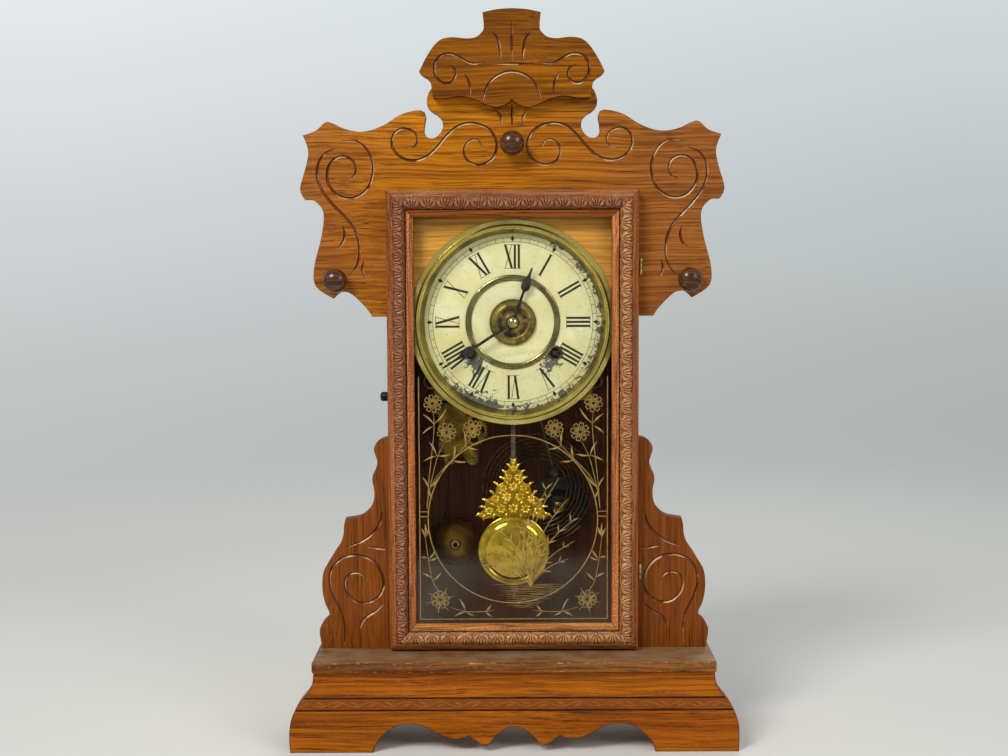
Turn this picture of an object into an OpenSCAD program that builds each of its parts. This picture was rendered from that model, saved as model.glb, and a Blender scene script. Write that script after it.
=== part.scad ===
// Gingerbread kitchen clock: a carved oak case on a scalloped base, a glazed door hung on the right,
// a paper dial and an eight-day movement with an hour strike on a coiled gong and a bell alarm.
// Millimetres. X runs to the right, Y away from the viewer, Z up. The origin lies under the middle of the base.

/* [Base] */
// Width of the base front board at its feet
base_w = 341; // [330:1:360]
// Height of the base boards under the cap
base_h = 62.5; // [55:0.5:72]
// Depth of the base cap from front to back
base_d = 125; // [122:1:140]
// Thickness of the base cap
cap_t = 8; // [6:0.5:11]
// Thickness of the base front board
base_t = 18; // [14:1:20]

/* [Case] */
// Width from tip to tip of the carved head board
head_w = 322; // [312:1:336]
// Thickness of the head board and the side ornaments
head_t = 11; // [9:0.5:12]
// Thickness of the crest board laid over the neck of the head board
crest_t = 10; // [7:0.5:13]
// Thickness of the case sides
side_t = 10; // [8:0.5:12]
// Thickness of the backboard
back_t = 6; // [4:0.5:6]
// Diameter of the turned knobs
knob_d = 16.5; // [13:0.5:19]

/* [Door] */
// Width of the door
door_w = 191; // [188:1:196]
// Height of the door
door_h = 352; // [348:1:356]
// Width of the door's frame mouldings
frame_w = 20.5; // [18:0.5:21]
// Thickness of the door glass
glass_t = 2; // [1.5:0.25:2.5]

/* [Dial] */
// Outer radius of the bezel around the dial
bezel_r = 78.7; // [77:0.1:80]
// Distance from the door's top edge down to the dial's centre
dial_drop = 100.4; // [99:0.1:103]
// Time shown by the hands, in minutes after twelve
shown_min = 39.5; // [0:0.5:59]

/* [Movement] */
// Thickness of the brass plates
plate_t = 1.5; // [1.2:0.1:1.8]
// Sideways offset of each winding arbor from the dial's centre
wind_x = 32.6; // [32:0.1:33.5]
// Height of the winding arbors below the dial's centre
wind_drop = 23.9; // [23:0.1:25]
// Radius of the winding arbors
wind_r = 2.2; // [1.8:0.1:2.5]

/* [Pendulum] */
// Length from the bending point of the suspension to the middle of the bob
pendulum_l = 228.5; // [225:0.5:232]
// Radius of the bob
bob_r = 28.5; // [25:0.5:31]

/* [Gong and alarm] */
// Radius of the gong wire
gong_wire_r = 0.8; // [0.6:0.05:0.9]
// Distance from one turn of the gong to the next
gong_pitch = 3.3; // [3.2:0.1:3.5]
// Radius of the alarm bell
bell_r = 20; // [17:0.5:21]

/* [Hidden] */
$fn = 48;

// Heights and depths that the pieces share
cap_z = base_h + cap_t;
ledge = 44;
yf = -base_d / 2 + ledge;
yb = base_d / 2 - 2.5 - back_t;
case_w = door_w - 15;
in_w = case_w - 2 * side_t;
door_z = cap_z + 1.7;
dial_z = door_z + door_h - dial_drop;
case_top_z = door_z + door_h - 0.2;
// Share of its usual height that the dial has over the cap, which the gong and the bell below it follow
rise = (dial_z - cap_z) / 253.3;
top_t = 10;
yd = yf - 1.7;
door_t = 16.8;
rebate = 6;
glass_y = yd - 8.8;
head_s = head_w / 322;
head_foot = dial_z + 4.7 * head_s;
run = 0.06;
gap = 0.3;

// Colours
oak = [0.62, 0.36, 0.15];
dark_oak = [0.36, 0.18, 0.09];
door_red = [0.45, 0.21, 0.12];
brass = [0.74, 0.58, 0.27];
steel = [0.55, 0.56, 0.58];
iron = [0.08, 0.08, 0.09];
cream = [0.86, 0.80, 0.66];
clear = [0.75, 0.85, 0.86, 0.3];

// A smooth curve through chosen points, without its last point
function bend(a, b, c, d, t) =
    0.5 * (2 * b + (c - a) * t + (2 * a - 5 * b + 4 * c - d) * t * t + (3 * b - a - 3 * c + d) * t * t * t);
function curve(p, n = 4) =
    [for (i = [0:len(p) - 2]) for (k = [0:n - 1])
        bend(p[max(i - 1, 0)], p[i], p[i + 1], p[min(i + 2, len(p) - 1)], k / n)];
// A whole outline from its right half, which starts and ends on the middle line
function both(h) = concat(h, [for (i = [len(h) - 1:-1:0]) if (h[i][0] > 0.001) [-h[i][0], h[i][1]]]);
function place(p, sx, sz, z) = [for (q = p) [q[0] * sx, z + q[1] * sz]];
// The point at given distances from two others, on the left of the way from the first to the second
function apex(p, q, rp, rq, side) =
    let (v = q - p, l = norm(v), d = (rp * rp - rq * rq + l * l) / (2 * l), h = sqrt(max(rp * rp - d * d, 0)))
    p + v * d / l + side * h * [-v[1], v[0]] / l;
function polar(r, a) = [r * cos(a), r * sin(a)];
function way(p, q) = atan2(q[1] - p[1], q[0] - p[0]);

// A flat piece drawn in X and Z that starts at depth y and is t thick
module slab(y, t) translate([0, y + t, 0]) rotate([90, 0, 0]) linear_extrude(t) children();
// Round bars along Y and along X
module bar_y(p, r, y0, y1) translate([p[0], y0, p[1]]) rotate([-90, 0, 0]) cylinder(r = r, h = y1 - y0);
module bar_x(y, z, r, x0, x1) translate([x0, y, z]) rotate([0, 90, 0]) cylinder(r = r, h = x1 - x0);
// A turned form whose axis runs along Y from depth y
module turned(p, y) translate([p[0], y, p[1]]) rotate([-90, 0, 0]) rotate_extrude() children();
// A straight round wire between two points
module wire(a, b, r) {
    v = b - a;
    l = norm(v);
    translate(a) rotate([0, acos(v[2] / l), atan2(v[1], v[0])]) cylinder(r = r, h = l);
}
module block(x0, x1, y0, y1, z0, z1) translate([x0, y0, z0]) cube([x1 - x0, y1 - y0, z1 - z0]);

// Base

base_arch = concat(
    curve([[0, 19.6], [6.8, 18], [14.4, 11.8], [19, 6]]),
    curve([[20.6, 4.6], [24, 5.6], [31, 9.9], [34.3, 12.9]]),
    curve([[34.3, 12.9], [39.3, 10.7], [47.6, 10.5], [57.5, 14], [68.8, 20], [81, 21.8], [91.5, 19.4],
           [100.5, 12], [105.5, 5], [106.8, 0]]));
base_end = concat([[106.8, 0], [170, 0]],
    curve([[170.5, 10], [169.8, 21], [167.5, 29], [163, 37.5], [157, 45], [153.5, 50.5], [152, 56], [151.5, 62.5]]),
    [[151.5, 62.5], [0, 62.5]]);
base_groove_z = [32.7, 42];

module base_front() color(oak) difference() {
    slab(-base_d / 2 + 4.5, base_t)
        polygon(place(both(concat(base_arch, base_end)), base_w / 341, base_h / 62.5, 0));
    for (z = base_groove_z)
        block(-base_w, base_w, -base_d / 2, -base_d / 2 + 5.7, base_h / 62.5 * z - 0.8, base_h / 62.5 * z + 0.8);
}
module base_side(side) color(dark_oak)
    mirror([side < 0 ? 1 : 0, 0, 0])
        block(base_w * 0.4, base_w * 0.4 + 12, -base_d / 2 + 4.5 + base_t, base_d / 2 - 4.5, 0, base_h);
module base_side_left() base_side(-1);
module base_side_right() base_side(1);
module base_cap() color(oak)
    block(-base_w * 0.4466, base_w * 0.4466, -base_d / 2, base_d / 2, base_h, cap_z);

// Case

latch_at = [yf + 18.5, cap_z + 195];
mount_at = [for (x = [-66, 66]) for (z = [-50, 50]) [x, dial_z + z]];

module case_side(side) color(dark_oak) difference() {
    union() {
        mirror([side < 0 ? 1 : 0, 0, 0]) block(in_w / 2, case_w / 2, yf + head_t, yb, cap_z, case_top_z);
        mirror([side < 0 ? 1 : 0, 0, 0]) block(in_w / 2, case_w / 2, yf, yf + head_t + 1, cap_z, head_foot);
    }
    if (side < 0) bar_x(latch_at[0], latch_at[1], 2 + run, -case_w / 2 - 1, -case_w / 2 + side_t - 2);
}
module case_side_left() case_side(-1);
module case_side_right() case_side(1);
module case_top() color(dark_oak) block(-case_w / 2, case_w / 2, yf + head_t, yb, case_top_z, case_top_z + top_t);
module backboard() color(dark_oak) difference() {
    block(-case_w / 2, case_w / 2, yb, yb + back_t, cap_z, case_top_z + top_t);
    for (p = mount_at) bar_y(p, 2, yb - 1, yb + 3.5);
    for (p = [gong_at, bell_at]) bar_y(p, 2.5, yb - 1, yb + 3.5);
    for (p = alarm_feet) bar_y(p, 1.5, yb - 1, yb + 3.5);
}

// Half of the head board from the neck down to its foot, measured from the dial's centre
head_half = concat(
    [[0, 206], [44, 202]],
    curve([[57, 183], [60.4, 177.6], [62.7, 174.2], [64.4, 168.2], [63.6, 162.8], [60.6, 159.6], [56.4, 157],
           [53, 152.9], [52.4, 147.6], [55.2, 142.6], [59.5, 139.9], [64, 140.5], [66.6, 144.2], [66.2, 149.9],
           [65.4, 155.5], [66.4, 159.6]]),
    curve([[66.4, 159.6], [69.8, 160.8], [77.5, 159.8], [85.8, 156.8], [95.7, 150.6], [106.8, 146], [116.6, 145],
           [126.8, 147.1], [134, 150.5], [139.3, 152.5]]),
    curve([[139.3, 152.5], [142.6, 151.2], [149, 145.6], [158.5, 142.4]]),
    curve([[158.5, 142.4], [154.6, 130.7], [156.7, 118.3], [161.2, 102.2], [157.7, 93.8]]),
    curve([[157.7, 93.8], [150.5, 92.9], [143.7, 84], [145.5, 65.8], [151.2, 43.4], [150.4, 28.2], [137.2, 18.7]]),
    curve([[137.2, 18.7], [134, 21.9], [129.8, 23.8], [122.6, 21.8], [112, 11.4], [107.4, 4.7]]),
    [[107.4, 4.7], [0, 4.7]]);

module head_board() color(oak) slab(yf, head_t) difference() {
    polygon(place(both(head_half), head_s, head_s, dial_z));
    translate([0, dial_z]) circle(r = bezel_r - 6.2);
}

crest_half = concat(
    curve([[0, 235.2], [11.2, 234.4], [21.8, 232.2]]),
    curve([[21.8, 232.2], [20.9, 221], [23.5, 216.4], [28, 213.6], [34.4, 213], [42.6, 213.9], [49.7, 213.4],
           [54.5, 211.3], [59.5, 206.2], [64.7, 198.1], [69.5, 188.5]]),
    curve([[69.5, 188.5], [67.6, 186], [63.2, 183.2], [60.3, 179.6]]),
    [[60, 176]],
    curve([[59.2, 169.4], [50, 168.8], [39.6, 170.6], [28.5, 168.4], [19, 164], [11.2, 162.2], [4.5, 164.4],
           [0, 168.1]]),
    [[0, 168.1]]);

module crest_overlay() color(oak) slab(yf - crest_t, crest_t)
    polygon(place(both(crest_half), head_s, head_s, dial_z));

// Outer edge of a side ornament, measured from the case side and the base cap
ornament_edge = concat(
    [[0, 166.5], [8, 165.2]],
    curve([[8, 165.2], [13, 164], [17.5, 160.6], [19.4, 155.8], [18, 150.4], [16.8, 145.7], [18.2, 140.5],
           [20.3, 136], [20.8, 131], [19.6, 125], [19.5, 118.8], [21, 113], [24.4, 108], [30.6, 103.6], [42, 101.6]]),
    curve([[42, 101.6], [43.1, 96.5], [43.7, 89.5], [45.9, 82.9], [50.6, 75.8], [55.3, 68.3], [59.1, 61.3],
           [60.5, 53], [60.2, 43.5], [58.4, 35.3], [55.7, 29.5]]),
    curve([[55.7, 29.5], [55.4, 25.4], [59.5, 21.5], [62.6, 16.3], [63, 10.8], [61, 0]]),
    [[61, 0], [0, 0]]);

module side_ornament(side) color(oak)
    mirror([side < 0 ? 1 : 0, 0, 0]) slab(yf, head_t) translate([case_w / 2, cap_z])
        polygon(place(ornament_edge, base_w / 341, 1, 0));
module side_ornament_left() side_ornament(-1);
module side_ornament_right() side_ornament(1);

knob_at = [[0, dial_z + 135.5 * head_s], [-134.6 * head_s, dial_z + 32.5 * head_s],
           [134.6 * head_s, dial_z + 32.5 * head_s]];
module knob_form() {
    r = knob_d / 2;
    polygon(concat([[0, 0], [r * 0.8, 0], [r * 0.86, -1], [r * 0.74, -2.6]],
        [for (a = [-48:12:84]) [r * cos(a), -9.2 - r * 0.86 * sin(a)]], [[0, -9.2 - r * 0.86]]));
}
module turned_knobs() color(dark_oak) for (p = knob_at) turned(p, yf) knob_form();

// Door

// Section of the door frame: first number inward from the outer edge, second forward from the back
module frame_form() {
    w = frame_w;
    polygon([[0, 0], [0, 9.8], [4.5, 14], [5.6, 15.4], [8, door_t], [w - 8.5, door_t], [w - 6, 15.6],
             [w - 5.2, 14.4], [w, 10.6], [w, 8.8], [w - rebate, 8.8], [w - rebate, 0]]);
}
// One moulding of length l along +Z with its outer edge at x = 0, mitred at both ends
module moulding(l) intersection() {
    rotate([0, 0, 180]) mirror([1, 0, 0]) linear_extrude(l) frame_form();
    rotate([90, 0, 0]) translate([0, 0, -1]) linear_extrude(door_t + 2)
        polygon([[0, 0], [frame_w + 1, frame_w + 1], [frame_w + 1, l - frame_w - 1], [0, l]]);
}
module door_stile_left() color(door_red) translate([-door_w / 2, yd, door_z]) moulding(door_h);
module door_stile_right() color(door_red) mirror([1, 0, 0]) door_stile_left();
module door_rail_bottom() color(door_red)
    translate([door_w / 2, yd, door_z]) rotate([0, -90, 0]) moulding(door_w);
module door_rail_top() color(door_red)
    translate([-door_w / 2, yd, door_z + door_h]) rotate([0, 90, 0]) moulding(door_w);

sight_x = door_w / 2 - frame_w;
rebate_x = sight_x + rebate;
rebate_z0 = door_z + frame_w - rebate;
rebate_z1 = door_z + door_h - frame_w + rebate;
module door_glass() color(clear)
    block(-rebate_x + gap, rebate_x - gap, glass_y, glass_y + glass_t, rebate_z0 + gap, rebate_z1 - gap);
module glass_beads() color(dark_oak) {
    y0 = glass_y + glass_t;
    for (x = [-rebate_x, sight_x + gap]) block(x, x + rebate - gap, y0, yd - 1.8, rebate_z0, rebate_z1);
    for (z = [rebate_z0, rebate_z1 - rebate + gap])
        block(-sight_x, sight_x, y0, yd - 1.8, z, z + rebate - gap);
}

// Hinges

hinge_x = door_w / 2 + 2;
hinge_y = yf - 1.8;
hinge_z = [door_z + door_h * 0.166, door_z + door_h * 0.835];
leaf_t = 0.7;
barrel_r = 1.6;
pin_r = 0.8;
module barrel(z0, z1, bore) translate([hinge_x, hinge_y, z0]) difference() {
    cylinder(r = barrel_r, h = z1 - z0);
    if (bore > 0) translate([0, 0, -1]) cylinder(r = bore, h = z1 - z0 + 2);
}
module hinge_case_leaves() color(brass) for (z = hinge_z) {
    block(hinge_x - 12, hinge_x - 2.2, yf - leaf_t, yf, z - 6, z + 6);
    for (s = [-1, 1]) {
        block(hinge_x - 3, hinge_x, yf - leaf_t, yf, z + s * 4.15 - 1.85, z + s * 4.15 + 1.85);
        barrel(z + s * 4.15 - 1.85, z + s * 4.15 + 1.85, 0);
    }
    translate([hinge_x, hinge_y, z - 3]) cylinder(r = pin_r, h = 6);
}
module hinge_door_leaves() color(brass) for (z = hinge_z) {
    difference() {
        union() {
            block(hinge_x - 12, hinge_x - 2.4, yd, yd + leaf_t, z - 6, z + 6);
            block(hinge_x - 3, hinge_x, yd, yd + leaf_t, z - 1.9, z + 1.9);
            barrel(z - 1.9, z + 1.9, 0);
        }
        translate([hinge_x, hinge_y, z - 3]) cylinder(r = pin_r + run, h = 6);
    }
}

// Latch: a knob on the left case side turns an arm down over a pin on the door

latch_x = -case_w / 2;
arm_l = 12;
module latch_arm() difference() {
    union() {
        circle(r = 4);
        translate([-2.6, 0]) square([5.2, arm_l + 3.4]);
    }
    translate([0, arm_l]) circle(r = 1.6);
    translate([0, arm_l - 1.6]) square([6, 3.2]);
}
module latch_turn() color(iron) {
    bar_x(latch_at[0], latch_at[1], 2, latch_x - 1, latch_x + side_t - 2.4);
    translate([latch_x - gap, latch_at[0], latch_at[1]]) rotate([0, -90, 0]) linear_extrude(1.6)
        rotate(-90) latch_arm();
    translate([latch_x - 1, latch_at[0], latch_at[1]]) rotate([0, -90, 0]) rotate_extrude()
        polygon([[0, 0], [3, 0], [2.4, 3], [2.7, 5], [3.6, 9], [3.7, 12.5], [3, 14], [0, 14.6]]);
}
module latch_catch() color(brass) {
    block(-door_w / 2 + 0.6, -door_w / 2 + 8, yd, yd + 1, latch_at[1] - 6, latch_at[1] + 6);
    block(-door_w / 2 + 0.6, -door_w / 2 + 2, yd, latch_at[0] - arm_l + 2, latch_at[1] - 3.5, latch_at[1] + 3.5);
    bar_x(latch_at[0] - arm_l, latch_at[1], 1.1, -door_w / 2 + 1, latch_x - 0.2);
}

// Dial

dial_c = [0, dial_z];
dial_y = yf + 4.5;
paper_r = bezel_r - 10.3;
wind_at = [[wind_x, dial_z - wind_drop], [-wind_x, dial_z - wind_drop]];
hour_pipe_r = 3.6;
ring_r = bezel_r * 0.404;
ring_w = 4.7;

module dial_plate() color(cream) difference() {
    union() {
        bar_y(dial_c, paper_r + 1.1, dial_y, dial_y + 0.6);
        difference() {
            for (p = wind_at) bar_y(p, 5.6, dial_y - 0.5, dial_y + 0.3);
            bar_y(dial_c, ring_r + ring_w + 0.05, dial_y - 1, dial_y);
        }
    }
    bar_y(dial_c, hour_pipe_r + 0.6, dial_y - 1, dial_y + 1);
    for (p = wind_at) bar_y(p, 4.1, dial_y - 1, dial_y + 1);
}
module dial_bezel() color(brass) turned(dial_c, yf) {
    r = bezel_r;
    polygon([[r, -0.8], [r, 0], [r - 4.8, 0], [r - 4.8, -4.4], [r - 5.4, -5.2], [r - 5.9, -4.4], [r - 9.4, 4.5],
             [r - 10.5, 4.5], [r - 10.5, 3.7], [r - 6.9, -5.2], [r - 5.6, -6.2], [r - 4.2, -5.2], [r - 3.9, -0.8]]);
}
module dial_inner_ring() color(brass) turned(dial_c, dial_y) {
    r = ring_r;
    w = ring_w;
    polygon([[r, 0], [r, -0.8], [r + 1.2, -1.5], [r + w - 1.2, -1.5], [r + w, -0.8], [r + w, 0]]);
}
module alarm_disc() color(brass) difference() {
    union() {
        bar_y(dial_c, bezel_r * 0.226, dial_y - 1.6, dial_y - 0.8);
        bar_y(dial_c, hour_pipe_r + 1.6, dial_y - 2.4, dial_y - 0.4);
    }
    bar_y(dial_c, hour_pipe_r + run, dial_y - 3, dial_y + 1);
}

// Hands, pointing up before they are turned to the time
hand_s = bezel_r / 78.7;
hour_half = concat([[0, 44.6]],
    curve([[0.7, 43.4], [1.1, 38.5], [2.5, 34.2], [3.5, 30.2], [3, 27], [1.1, 25], [1, 20], [1.4, 4]]),
    [[1.4, 4], [1.2, -9], [0, -13]]);
minute_half = concat([[0, 64]],
    curve([[0.7, 63], [1, 50.5], [2.3, 45.8], [3.4, 41.4], [2.9, 38.2], [1.2, 36.2], [1, 30], [1.4, 4]]),
    [[1.4, 4], [1.4, -4], [0, -4]]);
minute_turn = shown_min * 6;
hour_turn = shown_min / 2;
module hand_blade(y, half, turn, hub, bore) difference() {
    union() {
        slab(y, 0.8) translate([0, dial_z]) rotate(-turn) scale(hand_s) polygon(both(half));
        bar_y(dial_c, hub, y, y + 0.8);
    }
    bar_y(dial_c, bore, y - 1, y + 2);
}
module hour_hand() color(iron) hand_blade(dial_y - 4.6, hour_half, hour_turn, 5.2, hour_pipe_r);
module hand_nut() color(brass) turned(dial_c, dial_y - 7.4)
    polygon([[0, 0], [4.1, 0], [4.1, -0.8], [3.4, -2], [2, -2.8], [0, -3.1]]);

// Movement: train layout in X and Z

ym = yf + 22.5;
yi = ym + plate_t;
between = 30.5;
yk = yi + between;
time_a = wind_at[0];
strike_a = wind_at[1];
mod_a = 0.7;
mod_b = 0.6;
mod_c = 0.5;
mod_d = 0.45;
mod_s = 0.5;
teeth_a = 72;
leaves_b = 9;
teeth_b = 54;
leaves_c = 9;
teeth_c = 64;
leaves_d = 8;
teeth_d = 64;
leaves_e = 6;
teeth_e = 44;
teeth_s = 54;
leaves_f = 8;
function reach(n1, n2, m) = (n1 + n2) * m / 2 + 0.04;
time_b = apex(time_a, dial_c, reach(teeth_a, leaves_b, mod_a), reach(teeth_b, leaves_c, mod_b), -1);
escape_at = dial_c + [0, 23.2];
third_at = apex(dial_c, escape_at, reach(teeth_c, leaves_d, mod_c), reach(teeth_d, leaves_e, mod_d), 1);
strike_b = strike_a + polar(reach(teeth_a, leaves_b, mod_a), 100);
fly_at = strike_b + polar(reach(teeth_s, leaves_f, mod_s), 75);
minute_at = dial_c - [0, 12];
// Turn of a gear with nj teeth that meets one with ni teeth turned by pi, in the direction th
function meet(th, pi, ni, nj) = th + 180 - (0.5 - (th - pi) * ni / 360) * 360 / nj;
turn_b = meet(way(time_a, time_b), 0, teeth_a, leaves_b);
turn_c = meet(way(time_b, dial_c), 0, teeth_b, leaves_c);
turn_d = meet(way(dial_c, third_at), 0, teeth_c, leaves_d);
turn_e = meet(way(third_at, escape_at), 0, teeth_d, leaves_e);
turn_sb = meet(way(strike_a, strike_b), 0, teeth_a, leaves_b);
turn_f = meet(way(strike_b, fly_at), 0, teeth_s, leaves_f);
turn_m = meet(-90, 0, 12, 36);
turn_h = meet(90, 0, 10, 40);

// Slim wheel teeth, so that every mesh has ample play
function tooth_ring(n, m, turn) =
    let (r = n * m / 2, p = 360 / n, w = [-0.24, -0.08, 0.08, 0.24], h = [-1.15, 0.85, 0.85, -1.15])
    [for (i = [0:n - 1]) for (k = [0:3]) polar(r + h[k] * m, turn + (i + w[k]) * p)];
module wheel(p, n, m, turn, y, t, bore) slab(y, t) translate(p) difference() {
    polygon(tooth_ring(n, m, turn));
    if (bore > 0) circle(r = bore);
    if (n * m > 24) for (k = [0:4]) rotate(72 * k) translate([n * m * 0.29, 0]) circle(r = n * m * 0.12);
}
// A lantern pinion: two collets joined by round trundles
module lantern(p, n, m, turn, y0, y1) {
    r = n * m / 2;
    for (y = [y0, y1 - 1]) bar_y(p, r + 0.47 * m + 0.35, y, y + 1);
    for (k = [0:n - 1]) bar_y(p + polar(r, turn + k * 360 / n), 0.45 * m, y0 + 0.5, y1 - 0.5);
}
// An arbor that runs in both plates
module arbor(p, r) {
    bar_y(p, r, yi + gap, yk - gap);
    bar_y(p, 0.8, ym, yk + plate_t);
}

plate_w = 124;
plate_z = [dial_z - 62, dial_z + 60];
spring_out = 30.2;
pillar_at = concat([for (s = [1, -1]) [s * (wind_x + spring_out * cos(40)), wind_at[0][1] - spring_out * sin(40)]],
    [[55, dial_z + 54], [-55, dial_z + 54], [0, dial_z - 56]]);
hammer_at = [16, dial_z - 56];
pivots = [time_b, third_at, strike_b, fly_at, hammer_at];

module plate_form() translate([-plate_w / 2, plate_z[0]]) square([plate_w, plate_z[1] - plate_z[0]]);
module front_plate() color(brass) {
    difference() {
        slab(ym, plate_t) plate_form();
        for (p = pivots) bar_y(p, 0.8 + run, ym - 1, yi + 1);
        bar_y(escape_at, 1.2 + run, ym - 1, yi + 1);
        bar_y(dial_c, hour_pipe_r + run, ym - 1, yi + 1);
        for (p = wind_at) bar_y(p, wind_r + run, ym - 1, yi + 1);
    }
    bar_y(minute_at, 1, yi - 0.5, yi + 13);
}
module back_plate() color(brass) difference() {
    slab(yk, plate_t) union() {
        plate_form();
        for (p = mount_at) {
            translate(p) circle(r = 6);
            translate([p[0] > 0 ? p[0] - 12 : p[0], p[1] - 6]) square([12, 12]);
        }
    }
    for (p = concat(pivots, [escape_at, dial_c])) bar_y(p, 0.8 + run, yk - 1, yk + plate_t + 1);
    for (p = wind_at) bar_y(p, wind_r + run, yk - 1, yk + plate_t + 1);
    for (p = mount_at) bar_y(p, 2.1, yk - 1, yk + plate_t + 1);
}
module plate_pillars() color(steel) for (p = pillar_at) bar_y(p, 2.5, yi, yk);
module movement_mounts() color(steel) for (p = mount_at) {
    bar_y(p, 4, yk + plate_t, yb);
    bar_y(p, 2, yk - 1.5, yb + 3.5);
    turned(p, yk) polygon([[0, 0], [4.2, 0], [4.2, -2], [3.4, -2.6], [0, -2.6]]);
}

// Great wheels turn loose on their winding arbors and carry a click for the ratchet
great_y = yi + 2.5;
module great_wheel(p) color(brass) {
    wheel(p, teeth_a, mod_a, 0, great_y, 1.8, wind_r + run);
    bar_y(p + [0, 11.2], 1.6, great_y, great_y + 3.8);
}
module time_great_wheel() great_wheel(time_a);
module strike_great_wheel() great_wheel(strike_a);
module winding_arbor(p) color(steel) {
    bar_y(p, wind_r, yf + 10, yk + plate_t + 1);
    slab(dial_y + 1.2, 7) translate(p) square(2.8, center = true);
    wheel(p, 18, 0.9, 0, great_y + 2.1, 1.5, 0);
}
module time_winding_arbor() winding_arbor(time_a);
module strike_winding_arbor() winding_arbor(strike_a);

// Mainsprings: a wound strip whose outer end runs out to a loop round its pillar
spring_turns = 4.5;
spring_t = 0.8;
function spring_r(u) = 6 + 2.6 * u * spring_turns + 9.3 * pow(max(u - 0.9, 0) / 0.1, 2);
function spring_line(o) =
    [for (i = [0:90]) polar(spring_r(i / 90) + o, -40 - (1 - i / 90) * 360 * spring_turns)];
module spring_form() {
    inner = spring_line(-spring_t / 2);
    outer = spring_line(spring_t / 2);
    polygon(concat(outer, [for (i = [90:-1:0]) inner[i]]));
    translate(polar(spring_out, -40)) difference() {
        circle(r = 3.5);
        circle(r = 2.6);
    }
}
module mainsprings() color(steel) {
    slab(yi + 8, 17) translate(time_a) spring_form();
    slab(yi + 8, 17) translate(strike_a) mirror([1, 0]) spring_form();
}

module second_wheel(p, turn, n, m) color(brass) {
    arbor(p, 1.3);
    lantern(p, leaves_b, mod_a, turn, yi + 0.6, yi + 6.4);
    wheel(p, n, m, 0, yi + 26.5, 1.2, 0);
}
module time_second_wheel() second_wheel(time_b, turn_b, teeth_b, mod_b);
module strike_second_wheel() second_wheel(strike_b, turn_sb, teeth_s, mod_s);

module center_wheel() color(brass) {
    bar_y(dial_c, 1.5, dial_y - 7, yk - gap);
    bar_y(dial_c, 0.8, yk - 1, yk + plate_t);
    lantern(dial_c, leaves_c, mod_b, turn_c, yi + 24.6, yi + 29.6);
    wheel(dial_c, teeth_c, mod_c, 0, yi + 21.5, 1.2, 0);
}
module third_wheel() color(brass) {
    arbor(third_at, 1.1);
    lantern(third_at, leaves_d, mod_c, turn_d, yi + 19.6, yi + 24.4);
    wheel(third_at, teeth_d, mod_d, 0, yi + 14.5, 1.2, 0);
}
escape_r = 12.5;
function escape_ring() =
    [for (i = [0:teeth_e - 1]) for (q = [[10.6, 0], [escape_r, 0.12], [10.6, 0.5]])
        polar(q[0], (i + q[1]) * 360 / teeth_e)];
module escape_wheel() color(brass) {
    bar_y(escape_at, 1.2, ym - 4, yi + 11);
    bar_y(escape_at, 0.7, yi + 10, yk - gap);
    bar_y(escape_at, 0.8, yk - 3, yk + plate_t);
    lantern(escape_at, leaves_e, mod_d, turn_e, yi + 12.6, yi + 17.4);
    slab(ym - 3.5, 1.5) translate(escape_at) difference() {
        polygon(escape_ring());
        for (k = [0:4]) rotate(72 * k) translate([6, 0]) circle(r = 2.4);
    }
}

// Verge over the escape wheel, with its crutch wire down to the pendulum rod
verge_at = escape_at + [0, 17.4];
pend_y = ym - 8;
swing_z = dial_z + 49.2;
crutch_z = dial_z + 22;
pallet = curve([[0, 2.2], [4.5, 1.2], [8.4, -2.4], [9.6, -6.6]], 3);
pallet_back = curve([[8.2, -6.2], [7, -3], [3.8, -0.8], [0, -1.6]], 3);
module verge() color(steel) {
    difference() {
        union() {
            slab(ym - 3.6, 1.7) translate(verge_at)
                polygon(both(concat(pallet, [[9.6, -6.6]], pallet_back, [[0, -1.6]])));
            bar_y(verge_at, 2, ym - 5.4, ym - 1.9);
        }
        bar_y(verge_at, 0.8 + run, ym - 6, ym + 1);
    }
    wire([0, ym - 4.7, verge_at[1] - 1.5], [0, ym - 5.4, crutch_z], 0.45);
    translate([0, pend_y, crutch_z]) rotate_extrude() translate([2.6, 0]) circle(r = 0.7);
}
module suspension_post() color(brass) difference() {
    union() {
        block(-4, 4, ym - 1.4, ym, verge_at[1] - 3, dial_z + 59);
        bar_y(verge_at, 0.8, ym - 5.8, ym);
        block(-2.6, 2.6, pend_y - 2.6, ym, swing_z + 2, dial_z + 59);
    }
    block(-0.6, 0.6, pend_y - 3, pend_y + 2.4, swing_z, dial_z + 57.4);
}

// Motion work: cannon pinion 12, minute wheel 36, minute pinion 10, hour wheel 40
module minute_hand() {
    color(iron) hand_blade(dial_y - 7.4, minute_half, minute_turn, 4.2, 2);
    color(brass) difference() {
        union() {
            bar_y(dial_c, 2.4, dial_y - 6.9, yi + 12.2);
            wheel(dial_c, 12, 0.5, 0, yi + 9.8, 2.4, 0);
        }
        bar_y(dial_c, 1.5 + run, dial_y - 7.2, yi + 13);
    }
}
module minute_wheel() color(brass) difference() {
    union() {
        wheel(minute_at, 36, 0.5, turn_m, yi + 10.4, 1.2, 0);
        wheel(minute_at, 10, 0.48, 0, yi + 4.6, 6, 0);
    }
    bar_y(minute_at, 1 + run, yi, yi + 13);
}
module hour_wheel() color(brass) difference() {
    union() {
        wheel(dial_c, 40, 0.48, turn_h, yi + 5.6, 1.2, 0);
        bar_y(dial_c, hour_pipe_r, dial_y - 5.6, yi + 6.4);
    }
    bar_y(dial_c, 2.4 + run, dial_y - 6, yi + 8);
}

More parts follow.
